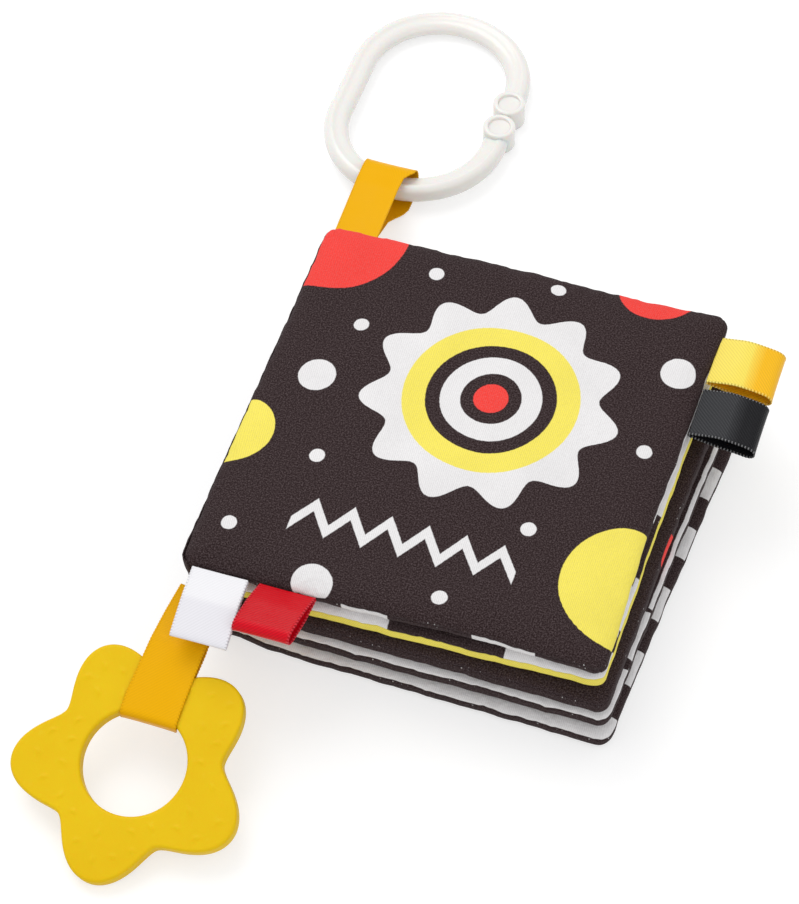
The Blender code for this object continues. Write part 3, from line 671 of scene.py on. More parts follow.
def ribbon_finish(colour):
    """Return satin ribbon: ribs across it, painted shade inside and at bends (painted highlight on
    the red), corded edges.
    """
    outside, inside, painted_bend_shading, thread, roughness, specular, relief, gap_shade, contrast = (
        SATINS[colour])
    settings = {"Specular IOR Level": specular, "Anisotropic": SATIN_ANISOTROPY}
    finish = Finish(f"{colour}_satin", roughness, settings)
    across, along, place = finish.uv_mm("ribbon")
    rib = finish.wave(along, RIB_PITCH)
    slant = finish.wave(finish.math("ADD", across, along), SLANT_PITCH)
    fibre = finish.noise(place, "satin_fibre")
    weave = finish.math("MULTIPLY", slant, SATIN_SLANT)
    weave = finish.math("MULTIPLY_ADD", rib, SATIN_RIB, weave)
    weave = finish.math("MULTIPLY_ADD", fibre, SATIN_FIBRE, weave)
    off_edge = finish.math("SUBTRACT", RIBBON_WIDTH * TO_MM / 2, finish.math("ABSOLUTE", across))
    cord = finish.named_ramp(off_edge, "cord_edge")
    beads = finish.wave(along, PICOT_PITCH * TO_MM)
    bead = finish.math("MULTIPLY", cord, beads)
    gap = finish.math("MULTIPLY", cord, finish.math("SUBTRACT", 1.0, beads))
    height = finish.math("MULTIPLY_ADD", bead, CORD_RISE, weave)
    # Painted shading: the bend colour where the ribbon falls away and the inside colour on its
    # inner face, darker on most ribbons and lighter on the red as a painted highlight
    fall = finish.named_ramp(finish.attribute("fall"), "painted_bend_ramp")
    tint = finish.mix(fall, outside, painted_bend_shading)
    tint = finish.mix(finish.attribute("inner_face"), tint, inside)
    bright = 1.0 + contrast * SATIN_BRIGHT_SHARE
    shade = finish.ramp(weave, *SATIN_SHADE_RANGE, 1.0 - contrast, bright)
    # Painted shade in the gaps between the edge's loops
    painted_gap_shade = finish.ramp(gap, *CORD_GAP_RANGE, 1.0, gap_shade)
    tint = finish.scaled(tint, finish.math("MULTIPLY", shade, painted_gap_shade))
    tint = finish.mix(finish.named_ramp(bead, "cord_thread"), tint, thread)
    return finish.finish(tint, finish.bump(height, relief * MM))


def link_finish():
    """Return smooth white plastic with faint flow marks and scuffs."""
    finish = Finish("link_plastic_gloss", *LINK_LOOK)
    place = finish.object_place()
    cloud = finish.named_ramp(finish.noise(place, "link_cloud"), "link_cloud")
    scuff = finish.named_ramp(finish.noise(place, "link_scuff"), "link_scuff")
    rough = finish.math("ADD", LINK_ROUGHNESS, scuff)
    grain = finish.bump(finish.noise(place, "link_grain"), LINK_RELIEF)
    return finish.finish(finish.mix(cloud, *LINK_WHITES), grain, rough)


def teether_finish():
    """Return matt silicone with a soft bloom."""
    finish = Finish("teether_silicone_matt", *TEETHER_LOOK)
    place = finish.object_place()
    cloud = finish.noise(place, "teether_cloud")
    colour = finish.mix(finish.named_ramp(cloud, "teether_cloud"), *TEETHER_YELLOWS)
    dust = finish.named_ramp(finish.noise(place, "teether_dust"), "teether_dust")
    colour = finish.mix(dust, colour, TEETHER_DUST)
    grain = finish.bump(finish.noise(place, "teether_grain"), TEETHER_RELIEF)
    return finish.finish(colour, grain, finish.named_ramp(cloud, "teether_roughness"))


def wadding_finish():
    """Return loose white batting."""
    finish = Finish("wadding_fibre", *WADDING_LOOK)
    place = finish.object_place()
    clump = finish.named_ramp(finish.noise(place, "wadding_clump"), "wadding_clump")
    fibre = finish.bump(finish.noise(place, "wadding_fibre"), WADDING_RELIEF)
    return finish.finish(finish.mix(clump, *WADDING_WHITES), fibre)


def film_finish():
    """Return crinkled clear film."""
    finish = Finish("crinkle_film_clear", *FILM_LOOK)
    crinkle = finish.noise(finish.object_place(), "film_crinkle")
    colour = finish.mix(finish.named_ramp(crinkle, "film_crinkle"), *FILM_TINTS)
    return finish.finish(colour, finish.bump(crinkle, FILM_RELIEF))


def seam_height(leaf):
    return SEAM_HEIGHT + LEAF_PITCH * leaf


def spine_edge(leaf):
    return SPINE_X - LEAF_SHEAR * leaf


def leaf_matrix(leaf):
    """Return the transform from a leaf's own frame to the model's."""
    place = Matrix.Translation((spine_edge(leaf), 0.0, seam_height(leaf)))
    return place @ Matrix.Rotation(-LEAF_FAN_ANGLE * leaf, 4, "Y")


def moved(points, matrix):
    """Return points turned and moved by a matrix."""
    grid = np.array(matrix)
    return points @ grid[:3, :3].T + grid[:3, 3]


def waves(place, row, which):
    """Return a sum of sines round the page's edge; place runs from 0 to 1."""
    counts, seed = row
    draw = np.random.default_rng(seed + which)
    total = np.zeros_like(place)
    for count in counts:
        phase, weight = draw.uniform(0.0, 2.0 * math.pi), draw.uniform(0.6, 1.0)
        total += weight * np.sin(2.0 * math.pi * count * place + phase)
    return total / math.sqrt(len(counts))


def swell(x, y, length, seed, count=9):
    """Return gentle hills over the page, of about a given length."""
    draw = np.random.default_rng(seed)
    total = np.zeros_like(x)
    for _ in range(count):
        angle, phase = draw.uniform(0.0, 2.0 * math.pi, 2)
        turn = 2.0 * math.pi / (length * draw.uniform(0.6, 1.5))
        total += np.sin(turn * (x * math.cos(angle) + y * math.sin(angle)) + phase)
    return total / math.sqrt(count)


def quads(*corners):
    """Return four-cornered faces from the arrays of their corners' indices."""
    return np.stack(corners, axis=-1).reshape(-1, 4)


def tube_faces(count, around):
    """Return the faces of a tube of closed rings, each with so many points."""
    index = np.arange(count).reshape(-1, around)
    after = np.roll(index, -1, axis=1)
    return quads(index[:-1], after[:-1], after[1:], index[1:]).tolist()


def closed_tube(count, around):
    """Return a tube's faces with the two that close its ends."""
    ends = [list(range(around))[::-1], list(range(count - around, count))]
    return tube_faces(count, around) + ends


class PageGrid:
    """A square grid laid over the page's rounded outline, with lines close to the seam."""

    def __init__(self, step, first_inset=0.0):
        rim = [first_inset + line * MM for line in RIM_LINES_MM]
        rest = HALF_WIDTH - rim[-1]
        count = round(rest / step)
        lines = rim + [rim[-1] + rest * (i + 1) / count for i in range(count)]
        level = 1.0 - np.array(lines) / HALF_WIDTH
        level = np.concatenate([-level, level[-2::-1]])
        a, b = np.meshgrid(level, level, indexing="ij")
        size = np.maximum(np.abs(a), np.abs(b))
        safe = np.where(size > 0.0, size, 1.0)
        self.count = len(level)
        self.inset = (1.0 - size) * HALF_WIDTH
        self.a, self.b = a / safe, b / safe
        self.on_side = np.abs(self.a) >= np.abs(self.b)
        self.set_places()
        self.set_run()

    def set_places(self):
        """Place each point on the rounded outline at its inset, and keep the outline's normal."""
        wide, high = HALF_WIDTH - self.inset, HALF_HEIGHT - self.inset
        radius = np.clip(CORNER_RADIUS - self.inset, 0.0, None)
        along = np.where(self.on_side, np.abs(self.b) * high, np.abs(self.a) * wide)
        reach = np.where(self.on_side, high, wide)
        out = np.where(self.on_side, wide, high)
        over = np.clip(along - (reach - radius), 0.0, None)
        angle = over / np.maximum(radius, MM * MM) * math.pi / 4
        round_part = (over > 0.0) & (radius > 0.0)
        angle = np.where(round_part, angle, 0.0)
        sideways = np.where(round_part, reach - radius + radius * np.sin(angle), along)
        outward = out - radius + radius * np.cos(angle)
        sign_a, sign_b = np.sign(self.a), np.sign(self.b)
        self.x = HALF_WIDTH + sign_a * np.where(self.on_side, outward, sideways)
        self.y = sign_b * np.where(self.on_side, sideways, outward)
        self.normal_x = sign_a * np.where(self.on_side, np.cos(angle), np.sin(angle))
        self.normal_y = sign_b * np.where(self.on_side, np.sin(angle), np.cos(angle))

    def set_run(self):
        """Give each point its place round the outline, from 0 to 1, from the opening edge on."""
        right = 0.5 + self.b / 2
        top = 1.5 - self.a / 2
        left = 2.5 - self.b / 2
        bottom = 3.5 + self.a / 2
        side = np.where(self.a > 0.0, right, left)
        end = np.where(self.b > 0.0, top, bottom)
        self.run = np.where(self.on_side, side, end) / 4.0

    def faces(self, upward=True, start=0):
        """Return the grid's faces."""
        index = np.arange(self.count * self.count).reshape(self.count, self.count) + start
        faces = quads(index[:-1, :-1], index[1:, :-1], index[1:, 1:], index[:-1, 1:])
        return faces if upward else faces[:, ::-1]

    def rim(self):
        """Return the indices of the outline's points, in order."""
        index = np.arange(self.count * self.count).reshape(self.count, self.count)
        return np.concatenate([index[:-1, 0], index[-1, :-1], index[:0:-1, -1], index[0, :0:-1]])


def seam_lift(leaf, run):
    """Return the height of a leaf's seam over its middle plane, at places round its edge."""
    wave = SEAM_WAVE * waves(run, SEAM_WAVES, leaf)
    ripple = SEAM_RIPPLE * waves(run, SEAM_RIPPLES, leaf)
    off = (run - OPENING_SIDE_MIDDLE) / OPENING_SIDE_REACH
    rise = SEAM_RISES_MM[leaf] + OPENING_SIDE_RISES_MM[leaf] * np.exp(-(off**2))
    return rise * MM + wave + ripple


def roll_form(side):
    """Return the width and power of the rounding of a leaf's upper (+1) or lower (-1) cloth."""
    return (EDGE_ROLL_WIDTH, ROLL_POWER) if side > 0 else (LOWER_ROLL_WIDTH, LOWER_ROLL_POWER)


def cloth_reach(inset, side):
    """Return the distance along a cloth from its seam, and the length the rounding adds."""
    width, power = roll_form(side)
    share = np.linspace(0.0, 1.0, REACH_STEPS) ** 3
    rise = LEAF_THICKNESS / 2 * (1.0 - (1.0 - share) ** power) ** (1.0 / power)
    steps = np.hypot(np.diff(share) * width, np.diff(rise))
    arc = np.concatenate([[0.0], np.cumsum(steps)])
    reach = np.interp(inset, share * width, arc) + np.maximum(inset - width, 0.0)
    return reach, arc[-1] - width


def cushion_roll(inset, run, side, seed):
    """Return the share of its full height that a cloth has at distances in from the seam."""
    base, power = roll_form(side)
    width = base * (1.0 + ROLL_WAVE_SHARE * waves(run, ROLL_WAVES, seed))
    share = np.clip(inset / width, 0.0, 1.0)
    return (1.0 - (1.0 - share) ** power) ** (1.0 / power)


def leaf_surface(leaf, side, grid, lower_by=0.0):
    """Return the points of a leaf's upper (+1) or lower (-1) cloth in the leaf's frame."""
    seed = 10 * leaf + (side + 1)
    inset, run = grid.inset, grid.run
    roll = cushion_roll(inset, run, side, seed)
    seam = seam_lift(leaf, run)
    if leaf == TOP_LEAF:
        away = np.hypot(grid.x, grid.y + HALF_HEIGHT)
        seam = seam - CORNER_DROOP * np.exp(-((away / CORNER_DROOP_REACH) ** 2))
    fold = inset / PUCKER_REACH * np.exp(1.0 - inset / PUCKER_REACH)
    steady, varied = PUCKER_STRENGTH_SHARES
    strength = steady + varied * waves(run, PUCKER_STRENGTHS, seed)
    pucker = PUCKER_HEIGHT * fold * strength * waves(run, PUCKERS, seed)
    full = LEAF_THICKNESS / 2 - SEAM_HALF_GAP - side * seam
    height = SEAM_HALF_GAP + full * roll + pucker
    outer_top = leaf == TOP_LEAF and side > 0
    hills = COVER_UNDULATION if outer_top else UNDULATION
    height += hills * roll * swell(grid.x, grid.y, UNDULATION_LENGTH, HILLS_SEED + seed)
    if outer_top:
        rise = np.clip((inset - COVER_CROWN_START) / COVER_CROWN_WIDTH, 0.0, 1.0)
        height += COVER_CROWN * rise * rise * (3.0 - 2.0 * rise)
    else:
        resting = leaf == 0 and side < 0
        limit = SEAM_HEIGHT if resting else INNER_LIMIT
        height = np.minimum(height, limit - side * seam)
    height = np.maximum(height - lower_by, SEAM_HALF_GAP / 2)
    x, y = page_places(leaf, side, grid)
    return np.stack([x, y, side * height + seam], axis=-1).reshape(-1, 3)


def hump(place, middle_and_reach):
    """Return a bell over a coordinate, with its middle and reach given."""
    middle, reach = middle_and_reach
    return np.exp(-(((place - middle) / reach) ** 2))


def edge_pull(leaf, grid):
    """Return how far each part of a leaf's edge is drawn in by its padding."""
    if leaf < TOP_LEAF:
        between = np.where(grid.on_side, grid.b, grid.a)
        return SIDE_DRAW_IN * (1.0 - between**2)
    end = np.where(grid.b > 0.0, hump(grid.x, COVER_FAR_DRAW), hump(grid.x, COVER_FRONT_DRAW))
    return COVER_DRAW_IN * np.where(grid.on_side, hump(grid.y, COVER_OPEN_DRAW), end)


def page_places(leaf, side, grid):
    """Return the grid's places on a leaf: its edge drawn in, scalloped, bulging and spread."""
    inset, run = grid.inset, grid.run
    scallop = EDGE_SCALLOP * (0.5 + 0.5 * waves(run, EDGE_SCALLOPS, leaf))
    ripple = EDGE_RIPPLE * (0.5 + 0.5 * waves(run, EDGE_RIPPLES, leaf))
    draw = (scallop + ripple) * np.exp(-((inset / EDGE_SCALLOP_REACH) ** 2))
    free = np.where(grid.on_side & (grid.a < 0.0), 0.0, 1.0)
    draw += free * edge_pull(leaf, grid) * np.exp(-((inset / SIDE_DRAW_REACH) ** 2))
    if side < 0 and leaf < TOP_LEAF:
        past = inset / BELLY_INSET
        clear = 1.0 - np.exp(-np.clip(grid.x - LOOP_ROOM, 0.0, None) / BELLY_REACH)
        draw -= clear * BELLIES_MM[leaf] * MM * past * np.exp(1.0 - past)
    x = grid.x - draw * grid.normal_x
    y = grid.y - draw * grid.normal_y
    outward = np.clip(x / PAGE_WIDTH, 0.0, 1.0)
    frontward = np.clip(-y / HALF_HEIGHT, 0.0, 1.0)
    if leaf == TOP_LEAF:
        x = x + COVER_FLARE * outward**6 * hump(y, (COVER_FLARE_Y, COVER_FLARE_REACH))
    right = np.clip((x - RIGHT_SHIFT_START) / (PAGE_WIDTH - RIGHT_SHIFT_START), 0.0, 1.0)
    past_loop = np.clip(x - LOOP_ROOM, 0.0, None)
    shift = FRONT_SHIFTS_MM[leaf] * (1.0 - np.exp(-past_loop / FRONT_SHIFT_REACH))
    y = y - (shift + RIGHT_SHIFTS_MM[leaf] * right) * MM * frontward**2
    x = x - OPEN_SHIFTS_MM[leaf] * MM * outward**2
    spread = (TOP_LEAF - leaf) * (EDGE_SPREAD + EDGE_SPREAD_PER_HEIGHT * y)
    return x + spread * x / PAGE_WIDTH, y


def make_mesh(name, points, faces, uv_name=None, uv=None):
    """Return a smooth mesh; uv has one pair for each point."""
    mesh = bpy.data.meshes.new(name)
    faces = faces.tolist() if isinstance(faces, np.ndarray) else faces
    mesh.from_pydata(np.asarray(points).tolist(), [], faces)
    if uv is not None:
        layer = mesh.uv_layers.new(name=uv_name)
        corner = np.zeros(len(mesh.loops), np.int32)
        mesh.loops.foreach_get("vertex_index", corner)
        layer.data.foreach_set("uv", np.asarray(uv, np.float32)[corner].ravel())
    mesh.shade_smooth()
    return mesh


def set_attribute(mesh, name, values):
    """Give each point of a mesh a number that its finish reads."""
    layer = mesh.attributes.new(name, "FLOAT", "POINT")
    layer.data.foreach_set("value", np.asarray(values, np.float32).ravel())


def show(name, data):
    """Put an object with a mesh, a lamp or a camera into the scene."""
    item = bpy.data.objects.new(name, data)
    bpy.context.scene.collection.objects.link(item)
    return item


def add_piece(node, mesh, finish, body=None):
    """Show a mesh in place of a node, with its finish, and make it ride on a body."""
    piece = show(mesh.name, mesh)
    mesh.materials.append(finish)
    if body:
        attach(piece, body)
    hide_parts(node)
    return piece


def thicken(piece, thickness):
    """Give a single cloth surface its thickness, inward."""
    solid = piece.modifiers.new("thickness", "SOLIDIFY")
    solid.thickness = thickness
    solid.offset = -1.0


LEAF_BODIES = ("back_cover", "leaf_4", "leaf_3", "leaf_2", "front_cover")
LEAF_CLOTHS = (
    ("back_cover_outer_cloth", "back_cover_inner_cloth"),
    ("leaf_4_lower_cloth", "leaf_4_upper_cloth"),
    ("leaf_3_lower_cloth", "leaf_3_upper_cloth"),
    ("leaf_2_lower_cloth", "leaf_2_upper_cloth"),
    ("front_cover_inner_cloth", "front_cover_outer_cloth"),
)


def make_cloth(leaf, side, node, grid, finish):
    """Make one cloth of a leaf, stretched over its padding."""
    points = leaf_surface(leaf, side, grid)
    reach, extra = cloth_reach(grid.inset, side)
    past = grid.inset - reach + extra
    uv = np.stack([grid.x + past * grid.normal_x, grid.y + past * grid.normal_y], axis=-1)
    mesh = make_mesh(f"{node}_form", moved(points, leaf_matrix(leaf)),
                     grid.faces(side > 0), "page", uv.reshape(-1, 2))
    set_attribute(mesh, "seam", reach * TO_MM)
    run = grid.run * 2.0 * (PAGE_WIDTH + PAGE_HEIGHT) * TO_MM
    set_attribute(mesh, "run", run + STITCH_OFFSET * (2 * leaf + side))
    piece = add_piece(node, mesh, finish, LEAF_BODIES[leaf])
    thicken(piece, CLOTH_THICKNESS)
    return piece


def make_wadding(leaf, grid, finish):
    """Make the padding between a leaf's two cloths."""
    upper = leaf_surface(leaf, 1, grid, WADDING_ROOM)
    lower = leaf_surface(leaf, -1, grid, WADDING_ROOM)
    total = len(upper)
    rim = grid.rim()
    after = np.roll(rim, -1)
    wall = quads(rim, rim + total, after + total, after)
    faces = np.concatenate([grid.faces(True), grid.faces(False, total), wall])
    body = LEAF_BODIES[leaf]
    points = moved(np.concatenate([upper, lower]), leaf_matrix(leaf))
    mesh = make_mesh(f"{body}_wadding_form", points, faces)
    piece = add_piece(f"{body}_wadding", mesh, finish, body)
    return piece


def make_film():
    """Make the crackling film under the front cover's cloth."""
    grid = PageGrid(COARSE_STEP, FILM_INSET)
    crease = FILM_CRINKLE * swell(grid.x, grid.y, FILM_CREASE_LENGTH, FILM_SEED, FILM_CREASES)
    points = np.stack([grid.x, grid.y, FILM_HEIGHT + crease], axis=-1).reshape(-1, 3)
    node = "front_cover_crinkle_film"
    mesh = make_mesh(f"{node}_form", moved(points, leaf_matrix(TOP_LEAF)), grid.faces())
    piece = add_piece(node, mesh, film_finish(), "front_cover")
    thicken(piece, FILM_THICKNESS)
    return piece


def make_leaves():
    """Make the cloths and padding of all five leaves."""
    fine = PageGrid(FINE_STEP)
    coarse = PageGrid(COARSE_STEP, WADDING_INSET)
    prints = {node: Print(f"{node}_print", *design).cloth() for node, design in DESIGNS.items()}
    batting = wadding_finish()
    for leaf, cloths in enumerate(LEAF_CLOTHS):
        make_wadding(leaf, coarse, batting)
        for side, node in zip((-1, 1), cloths):
            make_cloth(leaf, side, node, fine, prints[node])
    make_film()


def spine_tuck(y):
    """Return how far the spine's cloth turns in at its ends, round the leaves' corners."""
    past = np.clip(np.abs(y) - (HALF_HEIGHT - CORNER_RADIUS), 0.0, CORNER_RADIUS)
    return CORNER_RADIUS - np.sqrt(CORNER_RADIUS**2 - past**2 * SPINE_TUCK_SHARE)


def spine_points(leaf, y):
    """Return a strip's rows of points, from one leaf's seam over to the next one's."""
    run = (2.5 - y / HALF_HEIGHT / 2) / 4.0
    bulge = SPINE_BULGE + SPINE_WAVE * waves(run, SPINE_WAVES, leaf)
    gather = SPINE_GATHER * waves(run, SPINE_GATHERS, leaf)
    columns = []
    for step in range(SPINE_STEPS + 1):
        share = step / SPINE_STEPS
        out = math.sin(math.pi * share)
        x = spine_edge(leaf + share) - TOUCH_GAP - bulge * out - gather * (1.0 - out)
        lift = (1.0 - share) * seam_lift(leaf, run) + share * seam_lift(leaf + 1, run)
        columns.append(np.stack([x + spine_tuck(y), y, seam_height(leaf + share) + lift], axis=-1))
    return np.stack(columns, axis=1)


def make_spine():
    """Make the spine's cloth in four strips, each between two leaves that fold apart."""
    plain = Print("spine_print_cloth", "black", ())
    plain.wander = 0.0
    finish = plain.cloth()
    y = np.linspace(-HALF_HEIGHT, HALF_HEIGHT, round(PAGE_HEIGHT / SPINE_ROW) + 1)
    for leaf in range(TOP_LEAF):
        grid = spine_points(leaf, y)
        points = grid.reshape(-1, 3)
        index = np.arange(len(points)).reshape(grid.shape[:2])
        faces = quads(index[:-1, :-1], index[:-1, 1:], index[1:, 1:], index[1:, :-1])
        mesh = make_mesh(f"spine_strip_{leaf + 1}", points, faces, "page", points[:, [2, 1]])
        set_attribute(mesh, "seam", np.full(len(points), SPINE_FROM_SEAM_MM))
        set_attribute(mesh, "run", points[:, 1] * TO_MM)
        strip = add_piece("spine_cloth", mesh, finish)
        thicken(strip, SPINE_THICKNESS)
        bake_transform(strip)


def rounded_path(points, radii):
    """Return a plane path through points whose inner corners are rounded by radii."""
    path = [Vector(points[0])]
    for before, corner, after, radius in zip(points, points[1:], points[2:], radii):
        back = (Vector(before) - Vector(corner)).normalized()
        ahead = (Vector(after) - Vector(corner)).normalized()
        half_angle = back.angle(ahead) / 2
        start = Vector(corner) + back * (radius / math.tan(half_angle))
        centre = Vector(corner) + (back + ahead).normalized() * (radius / math.sin(half_angle))
        spoke = start - centre
        turn = math.pi - 2 * half_angle
        if back.x * ahead.y - back.y * ahead.x > 0.0:
            turn = -turn
        for step in range(RIBBON_ARC_STEPS + 1):
            angle = turn * step / RIBBON_ARC_STEPS
            cosine, sine = math.cos(angle), math.sin(angle)
            turned = Vector((spoke.x * cosine - spoke.y * sine, spoke.x * sine + spoke.y * cosine))
            path.append(centre + turned)
    path.append(Vector(points[-1]))
    return path


def softened(line, step, width):
    """Return a path rounded off over a width, with its ends kept."""
    reach = int(3 * width / step)
    kernel = np.exp(-((np.arange(-reach, reach + 1) * step / width) ** 2) / 2)
    kernel /= kernel.sum()
    before = 2 * line[0] - line[reach:0:-1]
    after = 2 * line[-1] - line[-2 : -reach - 2 : -1]
    padded = np.concatenate([before, line, after])
    return np.stack([np.convolve(padded[:, i], kernel, "valid") for i in (0, 1)], axis=-1)


def even_path(path, softness):
    """Return a path's points at even steps, softened, with its running length."""
    line = np.array([tuple(point) for point in path])
    gaps = np.linalg.norm(np.diff(line, axis=0), axis=1)
    keep = np.concatenate([[True], gaps > MM * MM])
    line = line[keep]
    length = np.concatenate([[0.0], np.cumsum(np.linalg.norm(np.diff(line, axis=0), axis=1))])
    count = max(round(length[-1] / RIBBON_ROW), RIBBON_FEWEST_ROWS)
    at = np.linspace(0.0, length[-1], count + 1)
    even = np.stack([np.interp(at, length, line[:, 0]), np.interp(at, length, line[:, 1])], -1)
    return softened(even, at[1], softness), at



def ribbon_points(path, to_world, softness, cup, squeeze, sway):
    """Return a ribbon's section rings, its across and along places, its face and its fall."""
    line, at = even_path(path, softness)
    slope = np.gradient(line, axis=0)
    slope /= np.linalg.norm(slope, axis=1)[:, None]
    normal = np.stack([-slope[:, 1], slope[:, 0]], axis=-1)
    picot = PICOT_DEPTH * np.abs(np.sin(math.pi * at / PICOT_PITCH))
    half, way = RIBBON_WIDTH / 2, at / at[-1]
    step = np.gradient(np.array([to_world(r, 0.0, h) for r, h in line]), axis=0)
    fall = np.clip(-step[:, 2] / np.linalg.norm(step, axis=1), 0.0, 1.0)
    rings, places = [], []
    for face in (1, -1):
        for share in RIBBON_ACROSS[::face]:
            looped = math.copysign(1.0, share) * (half - PICOT_DEPTH + picot)
            across = looped if abs(share) == 1.0 else np.full_like(at, share * half)
            thick = RIBBON_THICKNESS / 2 * CORD_SHARES.get(abs(share), SATIN_SHARE)
            spot = line + normal * (face * thick + cup * (share * share - CUP_LEVEL_SHARE))
            drawn = across * squeeze(way, share) if squeeze else across
            drawn = drawn + sway(way) if sway else drawn
            rings.append([to_world(r, a, h) for (r, h), a in zip(spot, drawn)])
            places.append(np.stack([across, at, np.full_like(at, face), fall], axis=-1))
    return np.array(rings), np.array(places)


def make_ribbon(node, finish, path, to_world, softness, cup,
                squeeze=None, sway=None):
    """Make one ribbon as a closed strip with corded edges, which may narrow and sway."""
    rings, places = ribbon_points(path, to_world, softness, cup, squeeze, sway)
    index = np.arange(rings[..., 0].size).reshape(rings.shape[:2])
    after = np.roll(index, -1, axis=0)
    faces = quads(index[:, :-1], after[:, :-1], after[:, 1:], index[:, 1:]).tolist()
    faces += [list(index[:, 0][::-1]), list(index[:, -1])]
    flat = places.reshape(-1, 4)
    mesh = make_mesh(f"{node}_form", rings.reshape(-1, 3), faces, "ribbon", flat[:, :2])
    volume_side(mesh)
    # The inner face and the fall tell the finish where to paint shade, and on the red a painted
    # highlight
    set_attribute(mesh, "inner_face", (1.0 - flat[:, 2]) / 2)
    set_attribute(mesh, "fall", flat[:, 3])
    piece = add_piece(node, mesh, finish, node)


def volume_side(mesh):
    """Turn a closed mesh's faces outward."""
    mesh.calc_loop_triangles()
    corners = np.array([v.co for v in mesh.vertices])
    tri = np.array([t.vertices for t in mesh.loop_triangles])
    a, b, c = corners[tri[:, 0]], corners[tri[:, 1]], corners[tri[:, 2]]
    if (a * np.cross(b, c)).sum() < 0.0:
        mesh.flip_normals()


def tag_path(length, opening, droop=0.0):
    """Return a folded tag's path: out from the seam, round its fold and back."""
    half_base = RIBBON_STRAND_SPACING / 2
    half_open = opening / 2
    shoulder = length * TAG_SHOULDER_SHARE
    shoulder_drop = droop * TAG_SHOULDER_SHARE**2
    points = [
        (TOUCH_GAP, half_base),
        (shoulder, half_open - shoulder_drop),
        (length, half_open - droop),
        (length, -half_open - droop),
        (shoulder, -half_open - shoulder_drop),
        (TOUCH_GAP, -half_base),
    ]
    fold = half_open - FOLD_EASE
    return rounded_path(points, (shoulder, fold, fold, shoulder))


def make_tags():
    """Make the four ribbon tags in the front cover's seams."""
    cover = leaf_matrix(TOP_LEAF)
    shoulder = SIDE_TAG_LENGTH * TAG_SHOULDER_SHARE

    def side_place(middle):
        def place(run, across, height):
            past = max(run - shoulder, 0.0) / (SIDE_TAG_LENGTH - shoulder)
            level = height - SIDE_TAG_BOW * past**2
            return cover @ Vector((PAGE_WIDTH + run, middle + across, level))

        return place

    def bottom_place(middle, skew):
        return lambda run, across, height: cover @ Vector(
            (middle + across + skew * run, -HALF_HEIGHT - run, height)
        )

    side = tag_path(SIDE_TAG_LENGTH, SIDE_TAG_OPENING, SIDE_TAG_DROOP)
    white = tag_path(WHITE_TAG_LENGTH, WHITE_TAG_OPENING, WHITE_TAG_DROOP)
    red = tag_path(RED_TAG_LENGTH, RED_TAG_OPENING)
    tags = (
        ("yellow", side, side_place(YELLOW_TAG_Y)),
        ("black", side, side_place(BLACK_TAG_Y)),
        ("white", white, bottom_place(WHITE_TAG_X, WHITE_TAG_SKEW / WHITE_TAG_LENGTH)),
        ("red", red, bottom_place(RED_TAG_X, RED_TAG_SKEW / RED_TAG_LENGTH)),
    )
    for colour, path, place in tags:
        make_ribbon(f"{colour}_tag", ribbon_finish(colour), path, place,
                    TAG_SOFTNESS, TAG_CUP)


def gathering(side, places, widths):
    """Return how a ribbon narrows on one side (+1 or -1) along its way."""
    return lambda way, share: np.interp(way, places, widths) if share * side > 0.0 else 1.0


def make_hanger(finish):
    """Make the ribbon that holds the link ring, narrower where it gathers under the ring."""
    half_base = RIBBON_STRAND_SPACING / 2
    radius = LINK_LOOP_RADIUS + RIBBON_THICKNESS / 2
    near, far = LINK_LOOP_Y - radius, LINK_LOOP_Y + radius
    points = [
        (END_RIBBON_BASE, END_RIBBON_HEIGHT + half_base),
        (near, LINK_LOOP_HEIGHT + radius),
        (far, LINK_LOOP_HEIGHT + radius),
        (far, LINK_LOOP_HEIGHT - radius),
        (near, LINK_LOOP_HEIGHT - radius),
        (END_RIBBON_BASE, END_RIBBON_HEIGHT - half_base),
    ]
    fold = radius - FOLD_EASE
    path = rounded_path(points, (END_RIBBON_BEND, fold, fold, END_RIBBON_BEND))
    shift = (LINK_LOOP_X - HANGER_X) / (near - END_RIBBON_BASE)

    def place(run, across, height):
        return (HANGER_X + across + shift * (min(run, near) - END_RIBBON_BASE), run, height)

    make_ribbon("hanger_ribbon", finish, path, place,
                HANGER_SOFTNESS, END_RIBBON_CUP, gathering(1, *HANGER_GATHER_SHARES))


def make_teether_ribbon(finish):
    """Make the ribbon that holds the flower, laid along it and folded in its hole."""
    half_base = RIBBON_STRAND_SPACING / 2
    chord = math.sqrt(TEETHER_HOLE_RADIUS**2 - (RIBBON_WIDTH / 2) ** 2)
    fold_run = chord - TOUCH_GAP - RIBBON_THICKNESS / 2
    sine, cosine = math.sin(TEETHER_TILT), math.cos(TEETHER_TILT)
    height = teether_height()

    def on_teether(reach, level):
        run = -TEETHER_Y - reach * cosine + level * sine
        return (run, height + reach * sine + level * cosine)

    points = [
        (END_RIBBON_BASE, END_RIBBON_HEIGHT + half_base),
        on_teether(TEETHER_GATHER_REACH, half_base),
        on_teether(TEETHER_RIBBON_REACH, TEETHER_RIBBON_LEVEL),
        on_teether(fold_run, TEETHER_RIBBON_LEVEL),
        on_teether(fold_run, -TEETHER_RIBBON_LEVEL),
        on_teether(TEETHER_RIBBON_REACH, -TEETHER_RIBBON_LEVEL),
        on_teether(TEETHER_GATHER_REACH, -half_base),
        (END_RIBBON_BASE, END_RIBBON_HEIGHT - half_base),
    ]
    bend, fold = TEETHER_GATHER_BEND, TEETHER_FOLD_RADIUS
    path = rounded_path(points, (bend, bend, fold, fold, bend, bend))

    def place(run, across, level):
        return (TEETHER_X + across, -run, level)

    def sway(way):
        return np.interp(way, TEETHER_SWAY_SHARES, TEETHER_SWAYS_MM) * MM

    make_ribbon("teether_ribbon", finish, path, place,
                TEETHER_RIBBON_SOFTNESS, END_RIBBON_CUP, gathering(-1, *TEETHER_GATHER_SHARES),
                sway)


